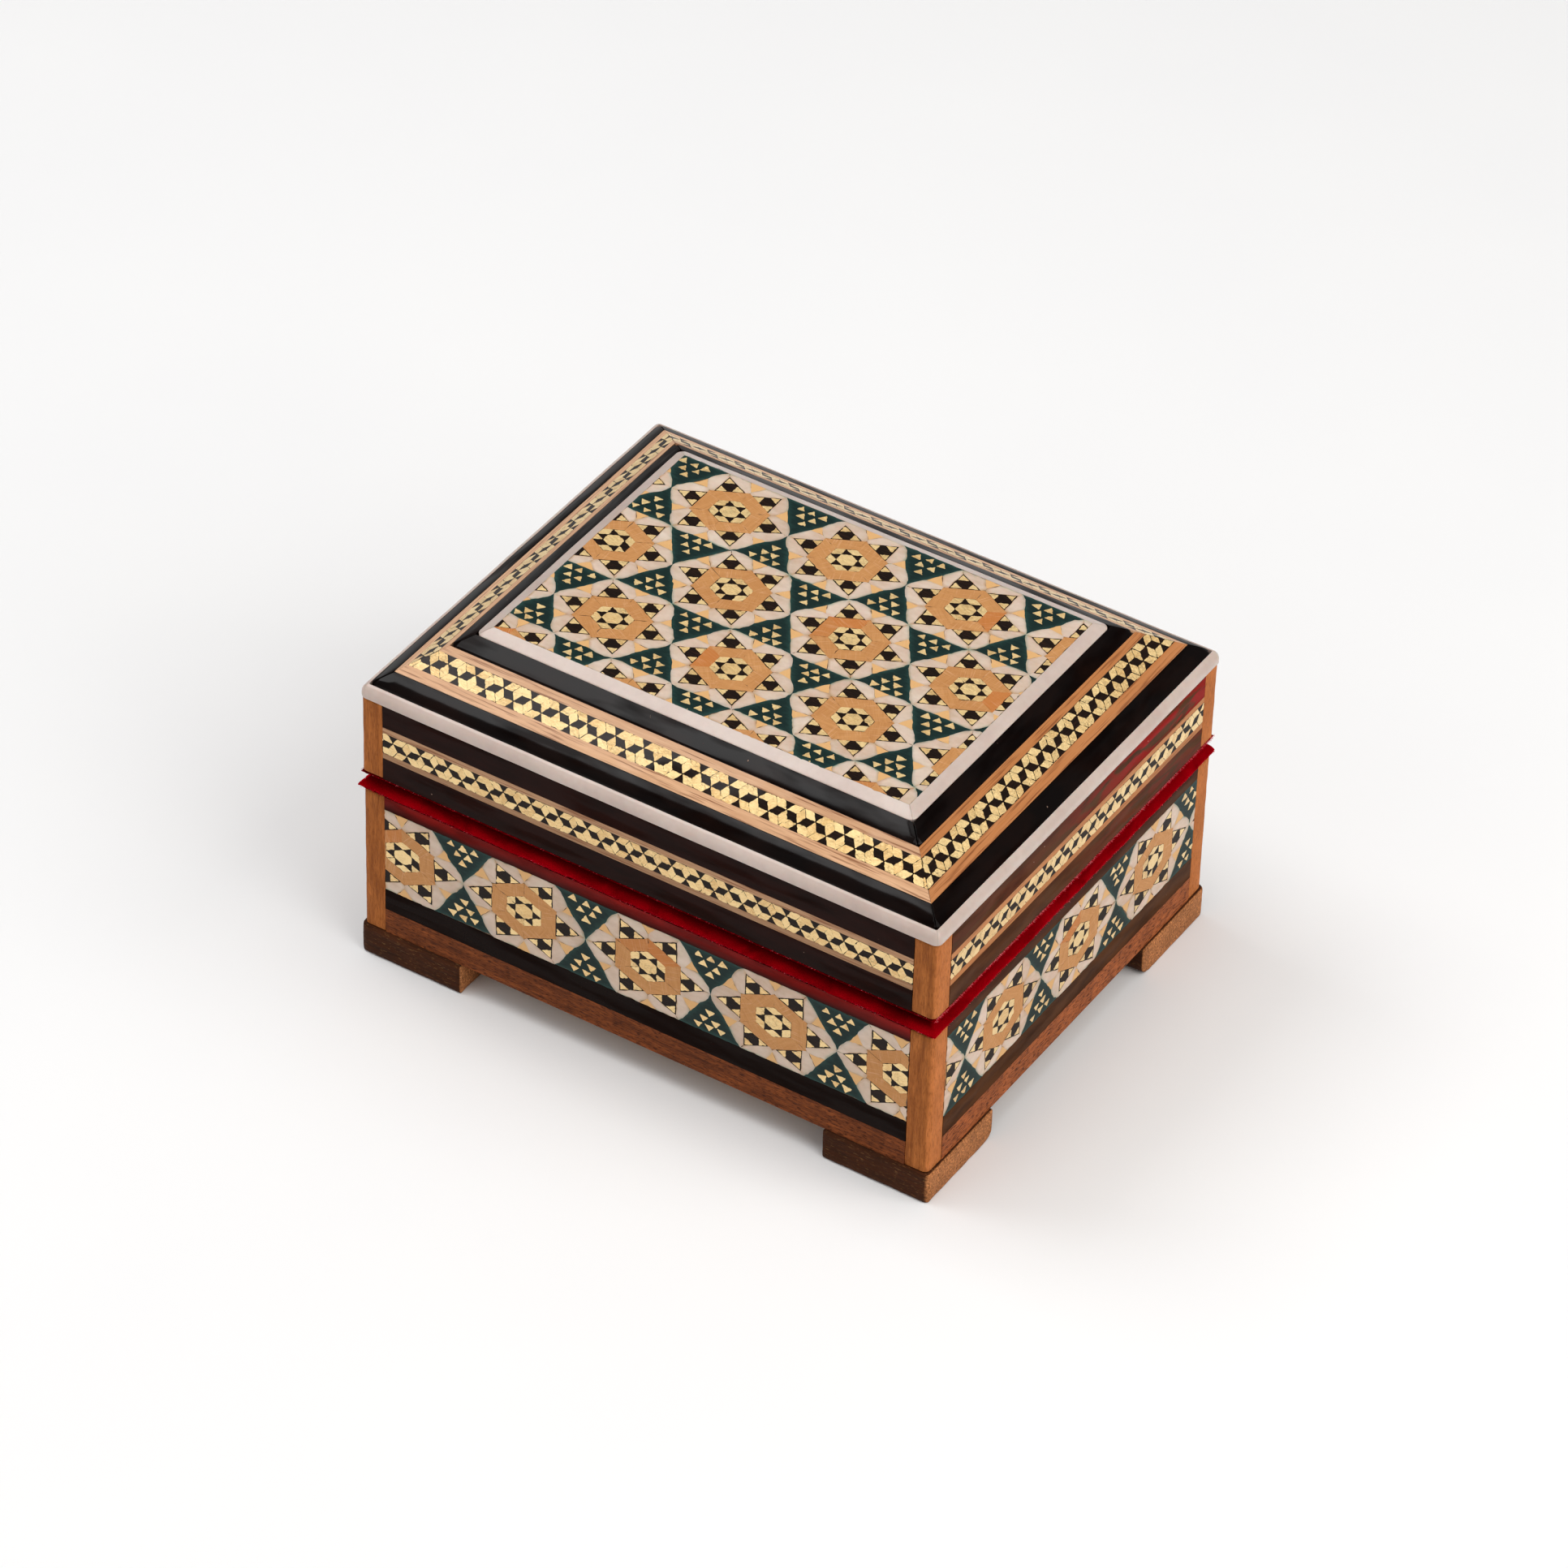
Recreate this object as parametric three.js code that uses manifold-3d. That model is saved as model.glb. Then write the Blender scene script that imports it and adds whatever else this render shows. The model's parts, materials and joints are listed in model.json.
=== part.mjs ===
// Small hinged jewellery box of inlaid wood. Millimetres, +Z up, the front faces -Y.
// The feet stand on z = 0, and the origin is the middle of the footprint, hinge barrels included.
// The box is a base and a lid. Each is a carcass of boards with corner posts, faced with black
// strips and star marquetry, and lined with velvet. The lid's top is a hipped board that carries
// rings of mitred strips around a flat star panel. Two brass butt hinges join them at the back.

import * as THREE from 'three';
import { mergeVertices } from 'three/addons/utils/BufferGeometryUtils.js';
import Module from 'manifold-3d';

const wasm = await Module();
wasm.setup();

// ---- Driving dimensions ----------------------------------------------------------------------

const GLUE = 0.03;                 // glue line between neighbouring pieces

const LID_HALF_X = 45;             // outside of the lid's edge trim
const LID_HALF_Y = 35.5;
const TRIM_PROUD = 0.2;            // how far the trim stands out from the lid's sides
const LID_STEP = 0.1;              // how far the lid's sides stand out from the base's
const FOOT_PROUD = 0.4;            // how far the feet stand out from the base's sides

const FOOT_TOP = 4.9;              // heights above the table
const PLINTH_TOP = 8.9;
const BASE_BAND = [12.4, 26.2];
const BASE_TOP = 28.3;
const LID_BOTTOM = 31.5;
const LID_BAND = [35.0, 40.3];
const LID_WALL_TOP = 44.0;
const PANEL_TOP = 53.0;

const POST = 3.5;                  // side of the square corner posts
const POST_ARRIS = 0.8;            // rounding of a post's outer edge
const FACING = 1.4;                // thickness of the facing strips
const CHANNEL = 1.0;               // depth of the channel that holds a star band
const BOTTOM_BOARD = 3;            // thickness of the base's floor
const BOTTOM_RECESS = 0.6;         // how far the floor sits up from the walls' lower edge

const FOOT_LEG = 16.4;             // length of each leg of an L-shaped foot
const FOOT_THICK = 5.5;
const FOOT_ROUND = 1.8;            // rounding of a side leg's lower end
const FOOT_CORNER = 0.9;           // rounding of a foot's outer corner

// The lid's slope, as joints between strips: [distance in from the lid's edge, height].
const SLOPE = [[1.0, 45.9], [3.4, 47.45], [8.65, 50.75], [11.05, 52.15], [12.8, PANEL_TOP]];
const STRIP = 1.2;                 // vertical thickness of the strips on the slope
const TRIM_SHOULDER = 45.1;        // top of the trim's upright outer face

const VELVET = 0.9;                // thickness of the lining
const LID_RIM_VELVET = 0.4;        // lining folded over the lid's rim
const VELVET_PROUD = 0.4;          // raw edge of the rim lining, beyond the base's sides
const RIM_SLOPE = 1.9;             // the padded rim rises over this width, from its edge inwards
const RIM_REST = 0.2;              // room between the padded rim and the lid's folded lining

const HINGE_X = 25;                // hinges left and right of the middle
const HINGE_WIDTH = 12;
const HINGE_LEAF = 0.5;            // leaf thickness
const HINGE_REACH = 7;             // leaf height, from the pin's axis
const BARREL_RADIUS = 1.1;
const PIN_RADIUS = 0.5;
const PIN_PROUD = 0.2;             // pin beyond the barrel at each end
const KNUCKLE_BORE = 0.57;
const KNUCKLE_GAP = 0.15;
const NAIL_RADIUS = 0.65;
const NAIL_HEIGHT = 0.35;
const ROUND = 24;                  // facets of a turned surface

// ---- Worked-out dimensions -------------------------------------------------------------------

const LID_X = LID_HALF_X - TRIM_PROUD;
const LID_Y = LID_HALF_Y - TRIM_PROUD;
const BASE_X = LID_X - LID_STEP;
const BASE_Y = LID_Y - LID_STEP;
const FOOT_X = BASE_X + FOOT_PROUD;
const FOOT_Y = BASE_Y + FOOT_PROUD;
const AXIS_Y = LID_Y + BARREL_RADIUS;
const LID_FOLD = LID_BOTTOM - LID_RIM_VELVET;
const AXIS_Z = (BASE_TOP + VELVET + LID_FOLD) / 2;
const BACK_REACH = AXIS_Y + BARREL_RADIUS;
const FRONT_REACH = Math.max(FOOT_Y, LID_HALF_Y);
const FLOOR_TOP = FOOT_TOP + BOTTOM_RECESS + BOTTOM_BOARD;

const SIDES = [
  { name: 'front', turn: 0, across: false },
  { name: 'right', turn: Math.PI / 2, across: true },
  { name: 'back', turn: Math.PI, across: false },
  { name: 'left', turn: -Math.PI / 2, across: true },
];
const CORNERS = [
  { name: 'front_left', x: -1, y: -1 },
  { name: 'front_right', x: 1, y: -1 },
  { name: 'back_right', x: 1, y: 1 },
  { name: 'back_left', x: -1, y: 1 },
];

// ---- Materials -------------------------------------------------------------------------------

const finish = (color, roughness, metalness = 0) => () =>
  new THREE.MeshStandardMaterial({ color, roughness, metalness });

const carcassWood = finish(0xb98f62, 0.7);
const postWood = finish(0xa8683c, 0.5);
const plinthWood = finish(0x8e4f2c, 0.5);
const footWood = finish(0x4e2f1e, 0.6);
const blackLacquer = finish(0x15110f, 0.15);
const starMarquetry = finish(0xb58a5a, 0.25);
const brassMarquetry = finish(0xd0a865, 0.25);
const bone = finish(0xd9cbc2, 0.25);
const velvet = finish(0x9c0713, 0.95);
const brass = finish(0xc29a4a, 0.35, 1);

// ---- Helpers ---------------------------------------------------------------------------------

function named(name, geometry, material) {
  const mesh = new THREE.Mesh(geometry, material());
  mesh.name = name;
  return mesh;
}

function block(name, material, x, y, z) {
  const geometry = new THREE.BoxGeometry(x[1] - x[0], y[1] - y[0], z[1] - z[0]);
  const mesh = named(name, geometry, material);
  mesh.position.set((x[0] + x[1]) / 2, (y[0] + y[1]) / 2, (z[0] + z[1]) / 2);
  return mesh;
}

function boxGeometry(x, y, z) {
  const geometry = new THREE.BoxGeometry(x[1] - x[0], y[1] - y[0], z[1] - z[0]);
  return geometry.translate((x[0] + x[1]) / 2, (y[0] + y[1]) / 2, (z[0] + z[1]) / 2);
}

function cylinderAlongX(radius, x0, x1, y, z) {
  const geometry = new THREE.CylinderGeometry(radius, radius, x1 - x0, ROUND);
  return geometry.rotateZ(Math.PI / 2).translate((x0 + x1) / 2, y, z);
}

function extrude(outline, depth) {
  return new THREE.ExtrudeGeometry(outline, { depth, bevelEnabled: false, curveSegments: 5 });
}

// An outline of (depth, height) points, drawn out along X about the middle.
function extrudeAlongX(outline, length) {
  const geometry = extrude(outline, length);
  const toX = new THREE.Matrix4().set(0, 0, 1, 0, 1, 0, 0, 0, 0, 1, 0, 0, 0, 0, 0, 1);
  return geometry.applyMatrix4(toX).translate(-length / 2, 0, 0);
}

function shapeOf(points) {
  return new THREE.Shape(points.map(([a, b]) => new THREE.Vector2(a, b)));
}

function solid(geometry) {
  const bare = geometry.clone();
  bare.deleteAttribute('normal');
  bare.deleteAttribute('uv');
  const merged = mergeVertices(bare, 1e-4);
  return new wasm.Manifold(new wasm.Mesh({
    numProp: 3,
    vertProperties: new Float32Array(merged.attributes.position.array),
    triVerts: new Uint32Array(merged.index.array),
  }));
}

function geometryOf(manifold) {
  const mesh = manifold.getMesh();
  const geometry = new THREE.BufferGeometry();
  geometry.setAttribute('position', new THREE.BufferAttribute(new Float32Array(mesh.vertProperties), 3));
  geometry.setIndex(new THREE.BufferAttribute(new Uint32Array(mesh.triVerts), 1));
  return geometry;
}

const joined = (...geometries) => geometries.map(solid).reduce((whole, piece) => whole.add(piece));

function indexedGeometry(vertices, triangles) {
  const geometry = new THREE.BufferGeometry();
  geometry.setAttribute('position', new THREE.Float32BufferAttribute(vertices.flat(), 3));
  geometry.setIndex(triangles.flat());
  return geometry;
}

// The place, at one corner of the lid, of a point [inset, height] of a strip's section.
const atCorner = (corner, [inset, z]) => [
  corner.x * (LID_HALF_X - inset),
  corner.y * (LID_HALF_Y - inset),
  z,
];

// Quads from each corner's copy of a section to the next corner's. The section is convex and
// runs outer bottom, outer top, inner top, inner bottom.
function sectionWalls(count, links) {
  const triangles = [];
  for (const [from, to] of links) {
    for (let k = 0; k < count; k += 1) {
      const next = (k + 1) % count;
      triangles.push([from * count + k, to * count + k, to * count + next]);
      triangles.push([from * count + k, to * count + next, from * count + next]);
    }
  }
  return triangles;
}

// One ring of strips around the lid, its four mitres glued.
function ringGeometry(section) {
  const vertices = CORNERS.flatMap((corner) => section.map((point) => atCorner(corner, point)));
  return indexedGeometry(vertices, sectionWalls(section.length, [[0, 1], [1, 2], [2, 3], [3, 0]]));
}

// One mitred strip, from corner `side` to the corner after it.
function mitredGeometry(section, side) {
  const count = section.length;
  const start = CORNERS[side];
  const end = CORNERS[(side + 1) % 4];
  const alongX = start.y === end.y;
  const direction = alongX ? end.x : end.y;
  const back = (corner, sign) => (point) => {
    const [x, y, z] = atCorner(corner, point);
    const shift = sign * direction * GLUE / 2;
    return alongX ? [x + shift, y, z] : [x, y + shift, z];
  };
  const vertices = [...section.map(back(start, 1)), ...section.map(back(end, -1))];
  const triangles = sectionWalls(count, [[0, 1]]);
  for (let k = 1; k < count - 1; k += 1) {
    triangles.push([0, k, k + 1]);
    triangles.push([count, count + k + 1, count + k]);
  }
  return indexedGeometry(vertices, triangles);
}

// A stack of rectangles, from the bottom up, closed above and below.
function stackedGeometry(levels) {
  const vertices = levels.flatMap(({ x, front, back, z }) => [
    [-x, front, z], [x, front, z], [x, back, z], [-x, back, z],
  ]);
  const triangles = [[0, 2, 1], [0, 3, 2]];
  for (let k = 0; k < levels.length - 1; k += 1) {
    for (let c = 0; c < 4; c += 1) {
      const next = (c + 1) % 4;
      const low = 4 * k;
      triangles.push([low + c, low + next, low + 4 + next]);
      triangles.push([low + c, low + 4 + next, low + 4 + c]);
    }
  }
  const top = 4 * (levels.length - 1);
  triangles.push([top, top + 1, top + 2]);
  triangles.push([top, top + 2, top + 3]);
  return indexedGeometry(vertices, triangles);
}

// ---- Parts that the base and the lid share ---------------------------------------------------

// A corner post, its outer edge rounded. Built for the front right corner and turned.
function post(name, corner, halfX, halfY, z0, z1) {
  const outline = new THREE.Shape();
  outline.moveTo(-POST, 0);
  outline.lineTo(-POST_ARRIS, 0);
  outline.absarc(-POST_ARRIS, POST_ARRIS, POST_ARRIS, -Math.PI / 2, 0, false);
  outline.lineTo(0, POST);
  outline.lineTo(-POST, POST);
  outline.closePath();
  const mesh = named(name, extrude(outline, z1 - z0), postWood);
  mesh.position.set(corner.x * halfX, corner.y * halfY, z0);
  mesh.rotation.z = Math.atan2(corner.y, corner.x) + Math.PI / 4;
  return mesh;
}

// A group turned so that its own -Y is one side's outward direction, with the place of that
// side's outer face and half the length between its posts.
function sideFrame(side, halfX, halfY) {
  const group = new THREE.Group();
  group.rotation.z = side.turn;
  const face = -(side.across ? halfX : halfY);
  const run = (side.across ? halfY : halfX) - POST - GLUE;
  return { group, face, run };
}

// The black facing of one wall, with a channel for the marquetry band.
function channelledFacing(name, run, z0, z1, band) {
  const outline = shapeOf([
    [0, z0], [0, band[0]], [CHANNEL, band[0]], [CHANNEL, band[1]],
    [0, band[1]], [0, z1], [FACING, z1], [FACING, z0],
  ]);
  return named(name, extrudeAlongX(outline, 2 * run), blackLacquer);
}

// ---- Base ------------------------------------------------------------------------------------

function baseSide(side) {
  const { group, face, run } = sideFrame(side, BASE_X, BASE_Y);
  const along = [-run, run];
  group.add(block(`base_wall_${side.name}`, carcassWood, along,
    [face + FACING + GLUE, face + POST], [FOOT_TOP + GLUE, BASE_TOP]));
  const facing = channelledFacing(`base_facing_${side.name}`, run, PLINTH_TOP + GLUE, BASE_TOP, BASE_BAND);
  facing.position.y = face;
  group.add(facing);
  group.add(block(`base_stars_${side.name}`, starMarquetry, along,
    [face, face + CHANNEL - GLUE], [BASE_BAND[0] + GLUE, BASE_BAND[1] - GLUE]));
  group.add(block(`plinth_${side.name}`, plinthWood, along,
    [face, face + FACING], [FOOT_TOP + GLUE, PLINTH_TOP]));
  return group;
}

// An L-shaped bracket foot: a square-ended leg along X, and a leg along Y with a rounded lower
// end. Built for the front right corner and mirrored by its corner's signs.
function footGeometry(corner) {
  const front = -FOOT_Y;
  const legX = solid(boxGeometry([FOOT_X - FOOT_LEG, FOOT_X], [front, front + FOOT_THICK], [0, FOOT_TOP]));
  const profile = new THREE.Shape();
  profile.moveTo(0, 0);
  profile.lineTo(FOOT_LEG - FOOT_ROUND, 0);
  profile.absarc(FOOT_LEG - FOOT_ROUND, FOOT_ROUND, FOOT_ROUND, -Math.PI / 2, 0, false);
  profile.lineTo(FOOT_LEG, FOOT_TOP);
  profile.lineTo(0, FOOT_TOP);
  profile.closePath();
  const legY = solid(extrudeAlongX(profile, FOOT_THICK).translate(FOOT_X - FOOT_THICK / 2, front, 0));
  const column = new THREE.CylinderGeometry(FOOT_CORNER, FOOT_CORNER, 3 * FOOT_TOP, ROUND);
  column.rotateX(Math.PI / 2).translate(FOOT_X - FOOT_CORNER, front + FOOT_CORNER, 0);
  const square = boxGeometry([FOOT_X - FOOT_CORNER, FOOT_X + 1], [front - 1, front + FOOT_CORNER],
    [-1, FOOT_TOP + 1]);
  const arris = solid(square).subtract(solid(column));
  const foot = legX.add(legY).subtract(arris);
  const geometry = geometryOf(foot).scale(corner.x, -corner.y, 1);
  if (corner.x * corner.y > 0) reverseFaces(geometry);
  return geometry;
}

// A mirrored geometry has its faces inside out until their order is reversed.
function reverseFaces(geometry) {
  const order = geometry.index.array;
  for (let i = 0; i < order.length; i += 3) [order[i], order[i + 1]] = [order[i + 1], order[i]];
}

// Velvet tub with a padded rim. The rim's raw edge stands out at the front and sides, and the
// padding rises inwards to carry the closed lid.
function baseLining() {
  const wallX = BASE_X - POST - GLUE;
  const wallY = BASE_Y - POST - GLUE;
  const edge = { x: BASE_X + VELVET_PROUD, front: -BASE_Y - VELVET_PROUD, back: BASE_Y - GLUE };
  const crest = { x: edge.x - RIM_SLOPE, front: edge.front + RIM_SLOPE, back: edge.back - RIM_SLOPE };
  const top = LID_FOLD - RIM_REST;
  const rim = stackedGeometry([
    { ...edge, z: BASE_TOP + GLUE },
    { ...edge, z: BASE_TOP + VELVET },
    { ...crest, z: top },
  ]);
  const tub = boxGeometry([-wallX, wallX], [-wallY, wallY], [FLOOR_TOP + GLUE, top]);
  const hollow = boxGeometry([-wallX + VELVET, wallX - VELVET], [-wallY + VELVET, wallY - VELVET],
    [FLOOR_TOP + GLUE + VELVET, top + 1]);
  return named('base_lining', geometryOf(joined(tub, rim).subtract(solid(hollow))), velvet);
}

function base() {
  const group = new THREE.Group();
  const innerX = BASE_X - POST - GLUE;
  const innerY = BASE_Y - POST - GLUE;
  group.add(block('bottom_board', carcassWood, [-innerX, innerX], [-innerY, innerY],
    [FLOOR_TOP - BOTTOM_BOARD, FLOOR_TOP]));
  for (const side of SIDES) group.add(baseSide(side));
  for (const corner of CORNERS) {
    group.add(post(`base_post_${corner.name}`, corner, BASE_X, BASE_Y, FOOT_TOP + GLUE, BASE_TOP));
    group.add(named(`foot_${corner.name}`, footGeometry(corner), footWood));
  }
  group.add(baseLining());
  return group;
}

// ---- Lid -------------------------------------------------------------------------------------

function lidSide(side) {
  const { group, face, run } = sideFrame(side, LID_X, LID_Y);
  const along = [-run, run];
  const top = LID_WALL_TOP - GLUE;
  group.add(block(`lid_wall_${side.name}`, carcassWood, along,
    [face + FACING + GLUE, face + POST], [LID_BOTTOM, top]));
  const facing = channelledFacing(`lid_facing_${side.name}`, run, LID_BOTTOM, top, LID_BAND);
  facing.position.y = face;
  group.add(facing);
  group.add(block(`lid_band_${side.name}`, brassMarquetry, along,
    [face, face + CHANNEL - GLUE], [LID_BAND[0] + GLUE, LID_BAND[1] - GLUE]));
  return group;
}

// The section of a strip on the slope, between two of the slope's joints.
function slopeSection(k) {
  const [inset0, z0] = SLOPE[k];
  const [inset1, z1] = SLOPE[k + 1];
  const outer = inset0 + GLUE / 2;
  const inner = inset1 - GLUE / 2;
  return [[outer, z0 - STRIP], [outer, z0], [inner, z1], [inner, z1 - STRIP]];
}

// The rounded white strip along the lid's edge. Its section is an upright with a rounded top.
function trimSection() {
  const [inset, top] = SLOPE[0];
  const inner = inset - GLUE / 2;
  const section = [[0, LID_WALL_TOP]];
  const steps = 4;
  for (let k = 0; k <= steps; k += 1) {
    const angle = (k / steps) * Math.PI / 2;
    section.push([inner * (1 - Math.cos(angle)), TRIM_SHOULDER + (top - TRIM_SHOULDER) * Math.sin(angle)]);
  }
  section.push([inner, LID_WALL_TOP]);
  return section;
}

// The hipped board under the strips.
function lidBoard() {
  const drop = STRIP + GLUE;
  const level = (inset, z) => {
    const halfY = LID_HALF_Y - inset - GLUE / 2;
    return { x: LID_HALF_X - inset - GLUE / 2, front: -halfY, back: halfY, z };
  };
  const levels = [level(SLOPE[0][0], LID_WALL_TOP), ...SLOPE.map(([inset, z]) => level(inset, z - drop))];
  return named('lid_board', stackedGeometry(levels), carcassWood);
}

function starPanel() {
  const inset = SLOPE[4][0] + GLUE / 2;
  const halfX = LID_HALF_X - inset;
  const halfY = LID_HALF_Y - inset;
  return block('star_panel', starMarquetry, [-halfX, halfX], [-halfY, halfY], [PANEL_TOP - STRIP, PANEL_TOP]);
}

// Velvet inside the lid, folded over the lid's rim.
function lidLining() {
  const wallX = LID_X - POST - GLUE;
  const wallY = LID_Y - POST - GLUE;
  const top = LID_WALL_TOP - GLUE;
  const tub = boxGeometry([-wallX, wallX], [-wallY, wallY], [LID_FOLD, top]);
  const fold = boxGeometry([-LID_X, LID_X], [-LID_Y, LID_Y - GLUE], [LID_FOLD, LID_BOTTOM - GLUE]);
  const hollow = boxGeometry([-wallX + VELVET, wallX - VELVET], [-wallY + VELVET, wallY - VELVET],
    [LID_FOLD - 1, top - VELVET]);
  return named('lid_lining', geometryOf(joined(tub, fold).subtract(solid(hollow))), velvet);
}

function lid() {
  const group = new THREE.Group();
  for (const side of SIDES) group.add(lidSide(side));
  for (const corner of CORNERS) {
    group.add(post(`lid_post_${corner.name}`, corner, LID_X, LID_Y, LID_BOTTOM, LID_WALL_TOP - GLUE));
  }
  group.add(lidBoard());
  group.add(named('edge_trim', ringGeometry(trimSection()), bone));
  group.add(named('outer_black_strips', ringGeometry(slopeSection(0)), blackLacquer));
  SIDES.forEach((side, k) => {
    group.add(named(`slope_band_${side.name}`, mitredGeometry(slopeSection(1), k), brassMarquetry));
  });
  group.add(named('inner_black_strips', ringGeometry(slopeSection(2)), blackLacquer));
  group.add(named('bone_frame', ringGeometry(slopeSection(3)), bone));
  group.add(starPanel());
  group.add(lidLining());
  return group;
}

// ---- Hinges ----------------------------------------------------------------------------------

const KNUCKLE = HINGE_WIDTH / 3;

// A nail head on a leaf, on the face that looks to the back.
function nailHead(x, y, z) {
  const geometry = new THREE.CylinderGeometry(NAIL_RADIUS * 0.6, NAIL_RADIUS, NAIL_HEIGHT, 12);
  return geometry.translate(x, y + NAIL_HEIGHT / 2, z);
}

// One leaf with its knuckles. `knuckles` and `gaps` are spans along X, about the hinge's middle.
// `up` is 1 for the lid's leaf and -1 for the base's.
function leafGeometry(wallY, up, knuckles, gaps) {
  const y = [wallY + GLUE, wallY + GLUE + HINGE_LEAF];
  const tip = AXIS_Z + up * HINGE_REACH;
  const z = up > 0 ? [AXIS_Z, tip] : [tip, AXIS_Z];
  let leaf = solid(boxGeometry([-HINGE_WIDTH / 2, HINGE_WIDTH / 2], y, z));
  const clear = BARREL_RADIUS + KNUCKLE_GAP;
  for (const [x0, x1] of gaps) {
    const notch = boxGeometry([x0, x1], [y[0] - 1, y[1] + 1], [AXIS_Z - clear, AXIS_Z + clear]);
    leaf = leaf.subtract(solid(notch));
  }
  for (const [x0, x1] of knuckles) {
    leaf = leaf.add(solid(cylinderAlongX(BARREL_RADIUS, x0, x1, AXIS_Y, AXIS_Z)));
  }
  leaf = leaf.subtract(solid(cylinderAlongX(KNUCKLE_BORE, -HINGE_WIDTH, HINGE_WIDTH, AXIS_Y, AXIS_Z)));
  for (const x of [-HINGE_WIDTH / 4, HINGE_WIDTH / 4]) {
    leaf = leaf.add(solid(nailHead(x, y[1] - GLUE, AXIS_Z + up * HINGE_REACH * 0.66)));
  }
  return geometryOf(leaf);
}

function hinge(name, x) {
  const half = HINGE_WIDTH / 2;
  const inner = KNUCKLE / 2;
  const middle = [[-inner + KNUCKLE_GAP / 2, inner - KNUCKLE_GAP / 2]];
  const middleGap = [[-inner - KNUCKLE_GAP / 2, inner + KNUCKLE_GAP / 2]];
  const ends = [[-half, -inner - KNUCKLE_GAP / 2], [inner + KNUCKLE_GAP / 2, half]];
  const endGaps = [[-half - 1, -inner + KNUCKLE_GAP / 2], [inner - KNUCKLE_GAP / 2, half + 1]];
  const group = new THREE.Group();
  group.position.x = x;
  group.add(named(`hinge_leaf_base_${name}`, leafGeometry(BASE_Y, -1, ends, middleGap), brass));
  group.add(named(`hinge_leaf_lid_${name}`, leafGeometry(LID_Y, 1, middle, endGaps), brass));
  const reach = half + PIN_PROUD;
  group.add(named(`hinge_pin_${name}`, cylinderAlongX(PIN_RADIUS, -reach, reach, AXIS_Y, AXIS_Z), brass));
  return group;
}

// ---- The whole box ---------------------------------------------------------------------------

const box = new THREE.Group();
box.position.y = (FRONT_REACH - BACK_REACH) / 2;
box.add(base());
box.add(lid());
box.add(hinge('left', -HINGE_X));
box.add(hinge('right', HINGE_X));

const part = new THREE.Group();
part.add(box);

export default part;
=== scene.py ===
import json
import math
import random
from functools import cache

import bmesh
import bpy
from mathutils import Matrix, Vector, noise

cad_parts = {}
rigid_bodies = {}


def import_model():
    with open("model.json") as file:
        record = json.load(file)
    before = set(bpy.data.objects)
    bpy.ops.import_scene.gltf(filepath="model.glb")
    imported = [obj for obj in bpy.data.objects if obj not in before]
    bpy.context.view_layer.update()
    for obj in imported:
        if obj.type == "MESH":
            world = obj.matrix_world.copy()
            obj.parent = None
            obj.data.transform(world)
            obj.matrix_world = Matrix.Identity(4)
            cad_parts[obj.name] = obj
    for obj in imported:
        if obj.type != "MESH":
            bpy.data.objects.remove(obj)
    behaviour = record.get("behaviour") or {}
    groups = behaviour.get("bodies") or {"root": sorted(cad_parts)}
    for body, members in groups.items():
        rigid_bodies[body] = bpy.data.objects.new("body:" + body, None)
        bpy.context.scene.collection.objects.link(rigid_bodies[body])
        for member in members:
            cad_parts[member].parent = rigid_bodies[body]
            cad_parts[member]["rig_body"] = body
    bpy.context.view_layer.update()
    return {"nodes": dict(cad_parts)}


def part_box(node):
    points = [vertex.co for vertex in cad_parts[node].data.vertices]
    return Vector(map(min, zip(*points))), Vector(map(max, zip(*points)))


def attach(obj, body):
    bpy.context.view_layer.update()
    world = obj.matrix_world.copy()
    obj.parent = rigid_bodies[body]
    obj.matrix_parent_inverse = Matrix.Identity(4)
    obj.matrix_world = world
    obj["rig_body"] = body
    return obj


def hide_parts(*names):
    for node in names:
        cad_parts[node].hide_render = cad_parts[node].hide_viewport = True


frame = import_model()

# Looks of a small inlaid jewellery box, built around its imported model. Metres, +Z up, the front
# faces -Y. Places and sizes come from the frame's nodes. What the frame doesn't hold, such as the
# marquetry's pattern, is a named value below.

noise.seed_set(1)                 # otherwise every run has its own noise vectors
MM = 0.001

# ---- Marquetry ---------------------------------------------------------------------------------

JOINT = 0.05 * MM                 # glue joint between two tiles
TILE_JITTER = 0.045 * MM          # how far a tile's corners stray
BRASS_ROUND = 0.09 * MM           # how much of a brass tile's corner is worn off
GOLD_LEVEL = 0.0                  # tops of the tiles, below the surface of the node
WOOD_LEVEL = -0.008 * MM
GREEN_LEVEL = -0.014 * MM
GLUE_LEVEL = -0.045 * MM
TILE_DEPTH = 0.3 * MM
SMALLEST_TILE = 0.02 * MM * MM    # a smaller clipping isn't laid

STAR_PERIOD_TOP = 18.6 * MM       # star to star along a row
STAR_PITCH_TOP = 14.0 * MM        # row to row: the blocks are pressed, so the stars are squat
STAR_PERIOD_LONG = 19.6 * MM      # the same on the long and the short sides
STAR_PERIOD_SHORT = 19.1 * MM
STAR_SHIFT_TOP = -1.7 * MM        # a star's distance from the middle of its panel or band
STAR_SHIFT_LONG = 0.9 * MM
STAR_SHIFT_SHORT = 1.7 * MM
BORDER_PERIOD = 4.4 * MM          # repeat of the brass-and-black border
BORDER_JOINT = 0.75 * JOINT
BORDER_JOINT_RIGHT = 1.6 * JOINT  # the right slope's lozenges lie further apart
STRINGING_SIDE = 0.95 * MM        # light wood line along each edge of the lid's side bands
STRINGING_SLOPE = (1.55 * MM, 1.25 * MM)   # outer and inner line of the bands on the slope

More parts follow.
